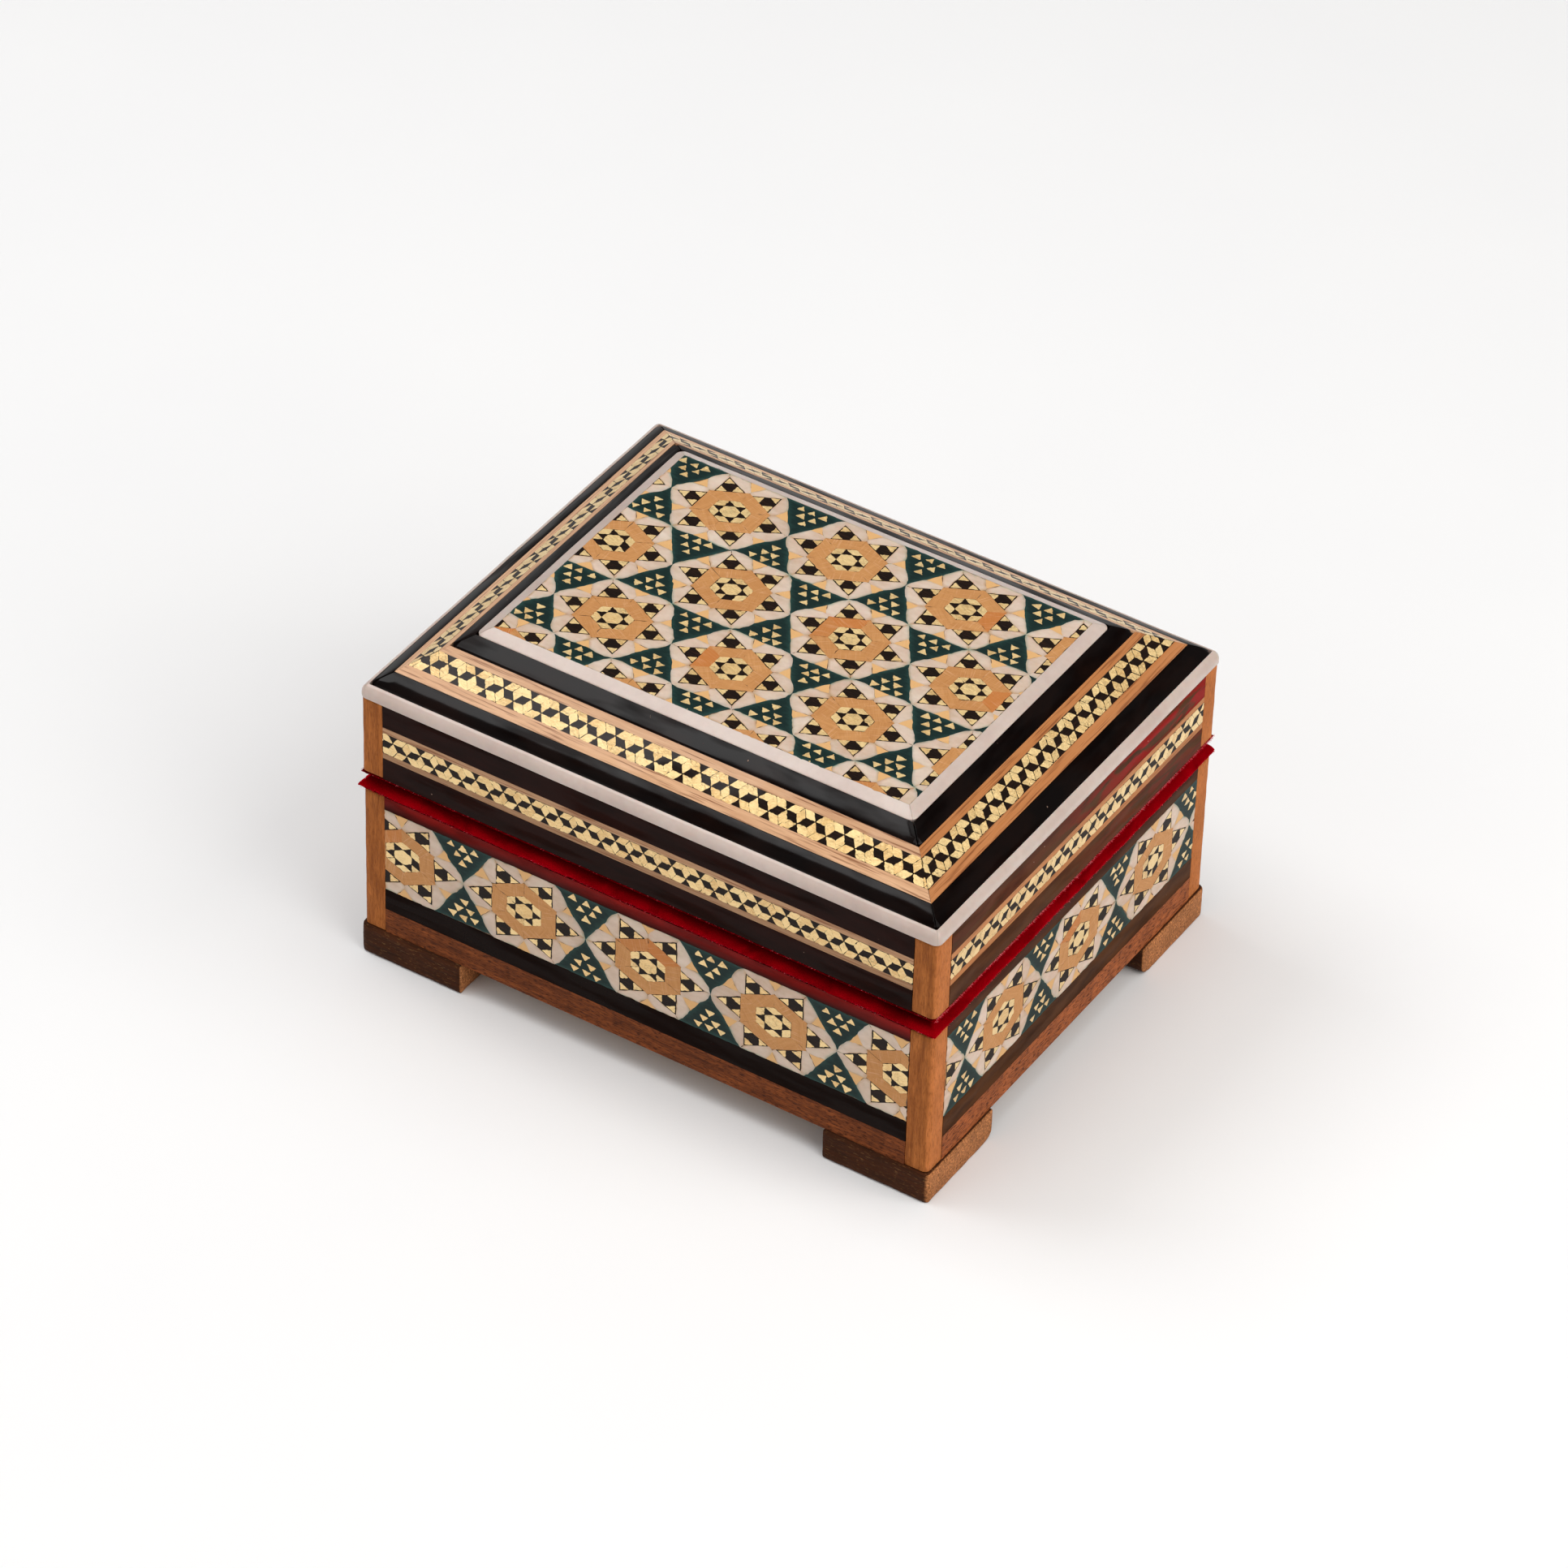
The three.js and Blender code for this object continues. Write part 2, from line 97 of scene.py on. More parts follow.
# A star, in units of the side of its hexagonal cell.
HEART = 0.161                     # side of the small triangles at the star's heart
RING = 0.605                      # circumradius of the orange ring
POINT_BASE = 0.53                 # distance to the base of a star's point
POINT_TIP = 0.88
POINT_HALF = 0.215                # half the base of a point
POINT_EDGE = 0.014                # black left showing round the brass corners of a point
CORNER_SHARE = 0.40               # brass corner of a point, as a share of its side
WEDGE_APEX = 0.67                 # wooden wedge between two bones
WEDGE_HALF = 0.115
BONE_BOW = 0.022                  # how far the outer side of a bone bulges into the green
GREEN_OVERLAP = 1.03              # the green triangles run a little under their neighbours
SPECK_SIDE = 0.15                 # brass specks in the green triangles
SPECK_STEP = 0.195
CELL_HEIGHT = 3 ** 0.5 / 2        # apothem of the cell, and height of a triangle of side 1

# ---- Wood, strips and velvet -------------------------------------------------------------------

PLAN_RADIUS = 1.1 * MM            # rounding of the lid's corners, seen from above
POST_ARRIS = 0.9 * MM             # rounding of a post's outer edge
POST_WEAR = 0.14 * MM             # wear of a post's ends
FOOT_VOXEL = 0.3 * MM             # grid on which the feet are worn
FOOT_ROUGH = 0.12 * MM            # knife marks on the feet
EDGE_WEAR = 0.07 * MM             # bevel of the boards, facings and plinth
HINGE_WEAR = 0.03 * MM
RIM_WIDTH = 3.55 * MM             # from the side of the box to the inner edge of its rim
PILE = 0.85 * MM                  # thickness of the lining on the walls
RIM_STEP = 0.4 * MM               # spacing of the points along the velvet's rims
BACK_LIMIT = 0.05 * MM            # at the back the velvet stays inside, clear of the hinges
PAD_THICK = 0.5 * MM
PAD_SWELL = 1.6 * MM              # how far the top of a pad rises
SIM_SCALE = 20                    # cloth is simulated at this many times its size

# ---- Looks -------------------------------------------------------------------------------------

BRASS, BLACK, GREEN, BONE, RING_WOOD, GLUE, LINE_WOOD = range(7)
LACQUER = 0.3                     # strength of the clear coat's reflection
SIDE_LACQUER = 0.15               # the coat on the upright facings is thinner

# Linear colours
COLOUR = {
    "brass_light": (0.97, 0.71, 0.33),
    "brass_dark": (0.70, 0.40, 0.125),
    "brass_crack": (0.16, 0.08, 0.025),
    "black": (0.010, 0.005, 0.003),
    "black_warm": (0.035, 0.014, 0.008),
    "green_dark": (0.008, 0.022, 0.020),
    "green_edge": (0.022, 0.062, 0.054),
    "bone_light": (0.77, 0.57, 0.47),
    "bone_dark": (0.58, 0.38, 0.28),
    "bone_edge": (0.45, 0.24, 0.10),
    "bone_green": (0.20, 0.33, 0.27),
    "ring_light": (0.58, 0.285, 0.105),
    "ring_dark": (0.41, 0.165, 0.050),
    "ring_orange": (0.54, 0.155, 0.030),
    "glue": (0.20, 0.12, 0.075),
    "line_light": (0.80, 0.50, 0.30),
    "wedge": (0.76, 0.46, 0.20),
    "line_dark": (0.44, 0.20, 0.09),
    "line_pore": (0.19, 0.055, 0.02),
    "line_brown": (0.16, 0.075, 0.028),
    # painted warm light on the sides that face right
    "line_orange": (0.50, 0.15, 0.02),
    "post_light": (0.52, 0.175, 0.045),
    "post_dark": (0.20, 0.055, 0.012),
    # painted light on the sides that face right
    "post_bare": (0.66, 0.22, 0.070),
    "plinth_light": (0.31, 0.082, 0.022),
    "plinth_dark": (0.05, 0.012, 0.004),
    # painted light on the sides that face right
    "plinth_bare": (0.56, 0.16, 0.05),
    "foot_light": (0.078, 0.023, 0.008),
    "foot_fleck": (0.26, 0.13, 0.045),
    # painted light on the sides that face right
    "foot_bare": (0.92, 0.37, 0.135),
    "foot_dark": (0.025, 0.009, 0.004),
    "board_light": (0.52, 0.33, 0.17),
    "board_dark": (0.33, 0.17, 0.07),
    "lacquer": (0.002, 0.0006, 0.0004),
    "lacquer_warm": (0.007, 0.002, 0.001),
    "lacquer_lid": (0.016, 0.0035, 0.002),
    "lacquer_base": (0.006, 0.002, 0.001),
    # painted brown sheen of the lacquer on the right side
    "lacquer_brown": (0.085, 0.032, 0.012),
    # painted red: the velvet's painted reflection, and painted highlights on the lid's right side
    "lacquer_red": (0.27, 0.010, 0.008),
    # painted shade just under the velvet on the right side, a little red
    "lacquer_shade": (0.045, 0.010, 0.008),
    "trim_light": (0.60, 0.49, 0.43),
    "trim_dark": (0.47, 0.35, 0.30),
    "velvet": (0.34, 0.0, 0.004),
    # painted sheen of the velvet, seen at a grazing angle
    "velvet_bright": (0.62, 0.0, 0.010),
    "velvet_deep": (0.10, 0.0, 0.001),
    # painted shade of the velvet where it lies in the seam
    "velvet_hidden": (0.030, 0.0, 0.0),
    "velvet_sheen": (1.0, 0.01, 0.03),
    "raw_red": (0.80, 0.012, 0.035),
    "raw_pink": (0.85, 0.30, 0.32),
    "hinge_light": (0.80, 0.55, 0.22),
    "hinge_dark": (0.33, 0.18, 0.06),
    "floor_dark": (0.90, 0.90, 0.91),
    "floor_light": (0.93, 0.93, 0.93),
    "studio": (1.0, 0.99, 0.98),
}

# ---- Studio ------------------------------------------------------------------------------------

# Azimuth 0 is in front and 90 to the right.
CAMERA_AZIMUTH = 31.7
CAMERA_ELEVATION = 39.5
CAMERA_ROLL = 1.8
CAMERA_DISTANCE = 1.026
CAMERA_TARGET = Vector((-0.0004, -0.0015, 0.0261))
CAMERA_LENS = 176.4
LAMP_TARGET = Vector((0, 0, 0.03))
WHITE = (1, 1, 1)
WARM = (1.0, 0.98, 0.95)
# Name, azimuth, elevation, distance, size, power and colour.
LAMPS = (
    ("left", -80, 57, 0.9, 0.45, 2.5, WHITE),
    ("right", 88, 38, 0.9, 0.9, 5.4, WARM),
    ("overhead", 20, 86, 0.9, 0.6, 1.7, WHITE),
    ("front", -25, 25, 1.0, 0.8, 1.25, WHITE),
)
WORLD_GLOW = (0.30, 0.36)         # strength of the world's light, at the horizon and overhead
FLOOR_REACH = 3.0

SIDES = (("front", 0), ("right", 90), ("back", 180), ("left", -90))
CORNERS = (("front_left", -1, -1), ("front_right", 1, -1), ("back_right", 1, 1), ("back_left", -1, 1))


# ---- Measures from the frame -------------------------------------------------------------------

def low(name):
    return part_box(name)[0]


def high(name):
    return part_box(name)[1]


CENTRE_Y = (low("edge_trim").y + high("edge_trim").y) / 2
STRIP = high("star_panel").z - low("star_panel").z
BASE_LO = low("base_post_front_left")
BASE_HI = high("base_post_back_right")


def rectangle(name, z):
    """Half length, half depth and height of a ring's or panel's outer edge."""
    return high(name).x, high(name).y - CENTRE_Y, z


# The joints between the rings on the lid's slope, from the outside in.
SLOPE = (
    rectangle("outer_black_strips", low("outer_black_strips").z + STRIP),
    (high("slope_band_front").x, CENTRE_Y - low("slope_band_front").y, low("slope_band_front").z + STRIP),
    rectangle("inner_black_strips", low("inner_black_strips").z + STRIP),
    rectangle("bone_frame", low("bone_frame").z + STRIP),
    rectangle("star_panel", high("star_panel").z),
)


# ---- Objects and meshes ------------------------------------------------------------------------

def in_scene(name, data):
    made = bpy.data.objects.new(name, data)
    bpy.context.scene.collection.objects.link(made)
    return made


def add_piece(name, mesh, node_name, replaces=True):
    """Adds a piece that rides with the body of a node and, if asked, stands in for that node."""
    piece = in_scene(name, mesh)
    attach(piece, frame["nodes"][node_name]["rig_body"])
    if replaces:
        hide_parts(node_name)
    return piece


def new_mesh(name, vertices, faces, materials, kinds=None, **values):
    """A mesh with its materials. Kinds choose each face's material, and each further argument is a
    list with a number for every vertex, kept under its name."""
    mesh = bpy.data.meshes.new(name)
    mesh.from_pydata(vertices, [], faces)
    if kinds:
        mesh.polygons.foreach_set("material_index", kinds)
    for key, numbers in values.items():
        mesh.attributes.new(key, "FLOAT", "POINT").data.foreach_set("value", numbers)
    for material in materials:
        mesh.materials.append(material)
    return mesh


def smoothed(mesh, flat_ends=False):
    """Shades a mesh smooth, all but the ends of a strip or post if they are to stay flat."""
    for polygon in mesh.polygons:
        polygon.use_smooth = not flat_ends or len(polygon.vertices) == 4
    return mesh


def skin(starts, count):
    """Quads that join closed loops of so many vertices. Each loop is given by its first vertex."""
    faces = []
    for here, there in zip(starts, starts[1:]):
        for k in range(count):
            after = (k + 1) % count
            faces.append((here + k, there + k, there + after, here + after))
    return faces


def wander(point, scale, amount, seed=0.0):
    """A small smooth shift of a point, so that a hand-cut edge isn't straight."""
    return noise.noise_vector(Vector(point) * scale + Vector((seed, seed, seed))) * amount


def towards(azimuth, elevation):
    """The direction from the box to a lamp or camera, angles in radians."""
    level = math.cos(elevation)
    return Vector((math.sin(azimuth) * level, -math.cos(azimuth) * level, math.sin(elevation)))


# ---- Flat outlines, counter-clockwise ----------------------------------------------------------

def polar(radius, degrees):
    angle = math.radians(degrees)
    return Vector((radius * math.cos(angle), radius * math.sin(angle)))


def oblong(low_x, low_y, high_x, high_y):
    return [Vector(p) for p in ((low_x, low_y), (high_x, low_y), (high_x, high_y), (low_x, high_y))]


def area(outline):
    total = 0.0
    for a, b in zip(outline, outline[1:] + outline[:1]):
        total += a.x * b.y - b.x * a.y
    return total / 2


def clipped(outline, window):
    """The part of an outline inside a convex window."""
    for a, b in zip(window, window[1:] + window[:1]):
        edge = b - a
        kept = []
        for p, q in zip(outline, outline[1:] + outline[:1]):
            side_p = edge.x * (p.y - a.y) - edge.y * (p.x - a.x)
            side_q = edge.x * (q.y - a.y) - edge.y * (q.x - a.x)
            if side_p >= 0:
                kept.append(p)
            if (side_p > 0) != (side_q > 0) and side_p != side_q:
                kept.append(p.lerp(q, side_p / (side_p - side_q)))
        outline = kept
        if len(outline) < 3:
            return []
    return outline


def without_doubles(outline, least=0.01 * MM):
    kept = []
    for p in outline:
        if not kept or (p - kept[-1]).length > least:
            kept.append(p)
    while len(kept) > 1 and (kept[0] - kept[-1]).length <= least:
        kept.pop()
    return kept


def inset(outline, distance):
    """The outline drawn in by a distance."""
    count = len(outline)
    drawn = []
    for k in range(count):
        before = (outline[k] - outline[k - 1]).normalized()
        after = (outline[(k + 1) % count] - outline[k]).normalized()
        both = Vector((-before.y, before.x)) + Vector((-after.y, after.x))
        reach = max(both.length_squared, 0.35)
        drawn.append(outline[k] + both * (2 * distance / reach))
    return drawn


def chopped(outline, amount):
    """The outline with every corner cut off, so that small tiles look rounded."""
    count = len(outline)
    kept = []
    for k in range(count):
        here = outline[k]
        for other in (outline[k - 1], outline[(k + 1) % count]):
            away = other - here
            kept.append(here + away * min(0.3, amount / max(away.length, amount)))
    return kept


def frayed(outline, pick, step=0.34 * MM, amount=0.036 * MM):
    """The outline with points along its longer edges pushed a little in and out."""
    kept = []
    for here, after in zip(outline, outline[1:] + outline[:1]):
        kept.append(here)
        away = after - here
        count = int(away.length / step)
        normal = Vector((-away.y, away.x)).normalized()
        for k in range(1, count + 1):
            on_edge = here + away * (k + pick.uniform(-0.2, 0.2)) / (count + 1)
            kept.append(on_edge + normal * pick.gauss(0, amount))
    return kept


def closeness(point, start, end, fade=0.9 * MM):
    """1 on the line through two points, falling to 0 at the fade distance."""
    along = (end - start).normalized()
    away = point - start
    return max(0.0, 1.0 - abs(along.x * away.y - along.y * away.x) / fade)


# ---- Inlay: tiles on one plane -----------------------------------------------------------------

class Inlay:
    """Collects tiles laid on a plane and makes them one mesh of thin closed prisms over a slab.
    Every vertex has a tone, a place along the tile's grain, a rim (1 at the outline, 0 at the hub
    of a domed tile) and a dye (how close it is to the side that took up green)."""

    def __init__(self, window, matrix, thickness, seed):
        self.window = window
        self.matrix = matrix
        self.random = random.Random(seed)
        self.vertices = []
        self.faces = []
        self.kinds = []
        self.tones = []
        self.grains = []
        self.rims = []
        self.dyes = []
        self.prism(window, GLUE, GLUE_LEVEL, -thickness, 0.5, 0.0)

    def vertex(self, p, z, along, tone, rim):
        self.vertices.append(self.matrix @ Vector((p.x, p.y, z)))
        self.grains += [along.x, along.y, tone * 9]
        self.tones.append(tone)
        self.rims.append(rim)
        self.dyes.append(0.0)

    def prism(self, outline, kind, top, bottom, tone, grain, centre=None):
        """A closed prism. With a centre, its top is a fan of triangles round that hub."""
        base = len(self.vertices)
        count = len(outline)
        turn = Matrix.Rotation(-grain, 2)
        shift = Vector((self.random.uniform(0, 900), self.random.uniform(0, 900)))
        for z in (bottom, top):
            for p in outline:
                self.vertex(p, z, turn @ p / MM + shift, tone, 1.0)
        self.faces.append(tuple(base + count - 1 - k for k in range(count)))
        for k in range(count):
            after = (k + 1) % count
            self.faces.append((base + k, base + after, base + count + after, base + count + k))
        if centre is None:
            self.faces.append(tuple(base + count + k for k in range(count)))
        else:
            hub = len(self.vertices)
            self.vertex(centre, top, turn @ centre / MM + shift, tone, 0.0)
            for k in range(count):
                self.faces.append((base + count + k, base + count + (k + 1) % count, hub))
        self.kinds += [kind] * (len(self.faces) - len(self.kinds))

    def tile(self, outline, kind, tone=None, grain=0.0, gap=JOINT, domed=False, stained_edge=None):
        """Lays one tile, cut to the window, with a joint all round and corners a little astray. A
        stained edge is the pair of points of a bone's side that takes up the green dye."""
        if tone is None:
            tone = self.random.random()
        jitter = self.random
        shape = without_doubles(clipped(outline, self.window))
        if len(shape) < 3 or area(shape) < SMALLEST_TILE:
            return
        shape = inset(shape, gap / 2)
        if area(shape) < SMALLEST_TILE:
            return
        shape = [p + Vector((jitter.gauss(0, 1), jitter.gauss(0, 1))) * TILE_JITTER / 2 for p in shape]
        if kind == BRASS:
            shape = frayed(chopped(shape, BRASS_ROUND * jitter.uniform(0.6, 1.4)), jitter)
        elif kind in (BONE, GREEN, RING_WOOD):
            shape = frayed(shape, jitter, step=0.7 * MM, amount=0.045 * MM)
        top = {BRASS: GOLD_LEVEL, GREEN: GREEN_LEVEL}.get(kind, WOOD_LEVEL)
        top -= jitter.random() * 0.004 * MM
        centre = sum(shape, Vector((0, 0))) / len(shape) if domed else None
        first = len(self.dyes)
        self.prism(shape, kind, top, -TILE_DEPTH, tone, grain, centre)
        if stained_edge:
            self.dyes[first:] = [closeness(p, *stained_edge) for p in shape + shape + [centre]]

    def add(self, name, slot):
        """Adds the inlay to the scene in place of a node."""
        mesh = new_mesh(f"{name}_inlay", self.vertices, self.faces, tile_materials(), self.kinds,
                        tone=self.tones, rim=self.rims, dye=self.dyes)
        mesh.attributes.new("grain", "FLOAT_VECTOR", "POINT").data.foreach_set("vector", self.grains)
        mesh.update()
        add_piece(mesh.name, mesh, name)


def lay_heart(inlay, put):
    """The brass and black middle of a star. A few of its lozenges are cut in two, and of those some
    lack their second half."""
    spread_out = 3 ** 0.5 * HEART
    inlay.tile(put([polar(2 * HEART, 30 + 60 * k) for k in range(6)]), BLACK, gap=0)
    inlay.tile(put([polar(HEART, 30 + 60 * k) for k in range(6)]), BRASS)
    for k in range(6):
        turn = 30 + 60 * k
        inner, right = polar(HEART, turn), polar(spread_out, turn - 30)
        outer, left = polar(2 * HEART, turn), polar(spread_out, turn + 30)
        if inlay.random.random() > 0.12:
            inlay.tile(put([inner, right, outer, left]), BRASS)
            continue
        inlay.tile(put([inner, right, outer]), BRASS)
        if inlay.random.random() > 0.4:
            inlay.tile(put([inner, outer, left]), BRASS)


def lay_ring(inlay, put):
    """The orange hexagonal ring, six mitred lengths. A high tone marks an odd, redder length."""
    base_tone = inlay.random.uniform(0.3, 0.7)
    for k in range(6):
        turn = 30 + 60 * k
        mitres = [[polar(radius, angle) for radius in (2 * HEART, RING)] for angle in (turn, turn + 60)]
        tone = min(0.8, max(0.2, inlay.random.gauss(base_tone, 0.12)))
        if inlay.random.random() < 0.08:
            tone = inlay.random.uniform(0.9, 1.0)
        grain = math.radians(turn + 120 + inlay.random.uniform(-35, 35))
        inlay.tile(put(mitres[0] + mitres[1][::-1]), RING_WOOD, tone=tone, grain=grain, gap=0.08 * JOINT)


def point_corners(turn, edge=0.0):
    """The triangle of a star's point, grown by an edge on every side: right, tip, left."""
    across = polar(POINT_HALF + 1.7 * edge, turn + 90)
    base = polar(POINT_BASE - edge, turn)
    return [base - across, polar(POINT_TIP + 2 * edge, turn), base + across]


def lay_point(inlay, put, turn):
    """One point of a star: a black triangle with three brass corners."""
    inlay.tile(put(point_corners(turn, POINT_EDGE)), BLACK, gap=0)
    corners = point_corners(turn)
    for k in range(3):
        here, one, two = corners[k], corners[(k + 1) % 3], corners[(k + 2) % 3]
        share = CORNER_SHARE * inlay.random.uniform(0.9, 1.06)
        inlay.tile(put([here, here.lerp(one, share), here.lerp(two, share)]), BRASS, gap=0.6 * JOINT)


def lay_bones(inlay, put, turn):
    """The pair of bones and the wooden wedge in the notch between two points."""
    facing = Matrix.Rotation(math.radians(turn), 2)
    heel, tip, _ = point_corners(30, POINT_EDGE)
    wedge = Vector((CELL_HEIGHT, WEDGE_HALF * inlay.random.uniform(0.8, 1.3)))
    apex = Vector((WEDGE_APEX + inlay.random.uniform(-0.04, 0.03), 0))
    outer = Vector((CELL_HEIGHT, 0.5))
    bones = []
    for _ in range(2):
        bow = BONE_BOW * inlay.random.uniform(0.2, 1.8)
        bowed = [wedge.lerp(outer, 0.3) + Vector((0.8 * bow, 0)), wedge.lerp(outer, 0.7) + Vector((bow, 0))]
        bones.append([Vector((RING + 0.01, 0)), apex, wedge, *bowed, outer, tip, heel])
    bones[1] = [Vector((p.x, -p.y)) for p in reversed(bones[1])]
    stained = put([facing @ Vector((CELL_HEIGHT, -0.5)), facing @ Vector((CELL_HEIGHT, 0.5))])
    tone = inlay.random.random()
    for outline in bones:
        tone = 0.6 * tone + 0.4 * inlay.random.random()
        inlay.tile(put([facing @ p for p in outline]), BONE, tone=tone, gap=0.3 * JOINT, domed=True,
                   stained_edge=stained)
    wood = [apex, Vector((wedge.x, -wedge.y)), wedge]
    inlay.tile(put([facing @ p for p in wood]), RING_WOOD, tone=0, grain=math.radians(turn), gap=0.2 * JOINT)


def lay_green(inlay, put, up):
    """A green triangle beside a star's right corner, with six brass specks."""
    height = up * CELL_HEIGHT
    corners = [Vector((1, 0)), Vector((1.5, height)), Vector((0.5, height))]
    if up < 0:
        corners.reverse()
    middle = Vector((1, height * 2 / 3))
    inlay.tile(put([middle + (p - middle) * GREEN_OVERLAP for p in corners]), GREEN, domed=True, gap=0)
    for row in range(3):
        for column in range(row + 1):
            spot = middle + Vector(((column - row / 2) * SPECK_STEP, up * (row - 1) * SPECK_STEP * 0.866))
            spot += Vector((inlay.random.gauss(0, 0.012), inlay.random.gauss(0, 0.012)))
            turn = 90 * up + inlay.random.gauss(0, 7)
            radius = SPECK_SIDE / 3 ** 0.5 * inlay.random.uniform(0.88, 1.1)
            inlay.tile(put([spot + polar(radius, turn + 120 * k) for k in range(3)]), BRASS, gap=0)


def placer(middle, tilt, side, squash):
    """A function that moves an outline from a star's own units to its place in the row."""
    def put(outline):
        turned = [tilt @ p for p in outline]
        return [middle + Vector((p.x * side, p.y * side * squash)) for p in turned]
    return put


def lay_stars(inlay, period, pitch, phase, rows):
    """Rows of stars that touch corner to corner, each row half a period on from the last."""
    side = period / 2
    squash = pitch / (period * 3 ** 0.5 / 2)
    reach = max(abs(p.x) for p in inlay.window) + period
    columns = int(reach / period) + 1
    for row, height in rows:
        for column in range(-columns, columns + 1):
            middle = Vector((phase + (column + row % 2 / 2) * period, height))
            middle += Vector((inlay.random.gauss(0, 0.06), inlay.random.gauss(0, 0.05))) * MM
            tilt = Matrix.Rotation(math.radians(inlay.random.gauss(0, 0.7)), 2)
            put = placer(middle, tilt, side, squash)
            lay_heart(inlay, put)
            lay_ring(inlay, put)
            for k in range(6):
                lay_point(inlay, put, 60 * k)
                lay_bones(inlay, put, 30 + 60 * k)
            lay_green(inlay, put, 1)
            lay_green(inlay, put, -1)


def lay_border(inlay, low_y, high_y, reach, gap=BORDER_JOINT):
    """Three rows of small triangles: brass lozenges round black ones."""
    unit = BORDER_PERIOD / 3
    row = (high_y - low_y) / 3
    inlay.tile(oblong(-reach, low_y, reach, high_y), BLACK, tone=0.3, gap=0)
    top, middle, bottom, foot = high_y, high_y - row, high_y - 2 * row, low_y
    lozenges = (
        ((1.5, top), (1, middle), (1.5, bottom), (2, middle)),
        ((0, middle), (1, middle), (1.5, top), (0.5, top)),
        ((2, middle), (3, middle), (2.5, top), (1.5, top)),
        ((0, middle), (-0.5, bottom), (0, foot), (0.5, bottom)),
        ((-1.5, bottom), (-1, foot), (0, foot), (-0.5, bottom)),
        ((0.5, bottom), (0, foot), (1, foot), (1.5, bottom)),
    )
    repeats = int(reach / BORDER_PERIOD) + 2
    for k in range(-repeats, repeats + 1):
        for lozenge in lozenges:
            outline = [Vector(((x + 3 * k) * unit, y)) for x, y in lozenge]
            if area(outline) < 0:
                outline.reverse()
            inlay.tile(outline, BRASS, gap=gap, grain=inlay.random.uniform(-0.5, 0.5))


def lay_stringing(inlay, low_y, high_y, reach, tone):
    grain = inlay.random.uniform(-0.02, 0.02)
    inlay.tile(oblong(-reach, low_y, reach, high_y), LINE_WOOD, tone=tone, gap=0.4 * JOINT, grain=grain)


def side_inlay(name, degrees, seed):
    """An empty inlay on the outer face of a slab on one side of the box, with half its length and
    half its height."""
    lo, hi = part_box(name)
    turn = Matrix.Rotation(math.radians(degrees), 4, "Z")
    size = turn.to_3x3().inverted() @ (hi - lo)
    outward = turn.to_3x3() @ Vector((0, -1, 0))
    face = (lo + hi) / 2 + outward * abs(size.y) / 2
    upright = Matrix(((1, 0, 0), (0, 0, -1), (0, 1, 0))).to_4x4()
    matrix = Matrix.Translation(face) @ turn @ upright
    half_x, half_y = abs(size.x) / 2, abs(size.z) / 2
    return Inlay(oblong(-half_x, -half_y, half_x, half_y), matrix, abs(size.y), seed), half_x, half_y


def star_panel():
    lo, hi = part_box("star_panel")
    half_x, half_y = (hi.x - lo.x) / 2, (hi.y - lo.y) / 2
    matrix = Matrix.Translation(((lo.x + hi.x) / 2, (lo.y + hi.y) / 2, hi.z))
    inlay = Inlay(oblong(-half_x, -half_y, half_x, half_y), matrix, hi.z - lo.z, seed=11)
    top_row = half_y - STAR_PITCH_TOP / 2
    rows = [(row, top_row - row * STAR_PITCH_TOP) for row in range(4)]
    lay_stars(inlay, STAR_PERIOD_TOP, STAR_PITCH_TOP, STAR_SHIFT_TOP, rows)
    inlay.add("star_panel", "star_marquetry")


def star_bands():
    for seed, (side, degrees) in enumerate(SIDES, 21):
        inlay, _, half_y = side_inlay(f"base_stars_{side}", degrees, seed)
        period, shift = STAR_PERIOD_LONG, STAR_SHIFT_LONG
        if side in ("left", "right"):
            period, shift = STAR_PERIOD_SHORT, STAR_SHIFT_SHORT
        lay_stars(inlay, period, 2 * half_y, shift, [(0, 0.0)])
        inlay.add(f"base_stars_{side}", "star_marquetry")


def lid_bands():
    for seed, (side, degrees) in enumerate(SIDES, 31):
        inlay, half_x, half_y = side_inlay(f"lid_band_{side}", degrees, seed)
        edge = half_y - STRINGING_SIDE
        lay_border(inlay, -edge, edge, half_x)
        lay_stringing(inlay, edge, half_y, half_x, tone=0.5)
        lay_stringing(inlay, -half_y, -edge, half_x, tone=0.2)
        inlay.add(f"lid_band_{side}", "brass_marquetry")


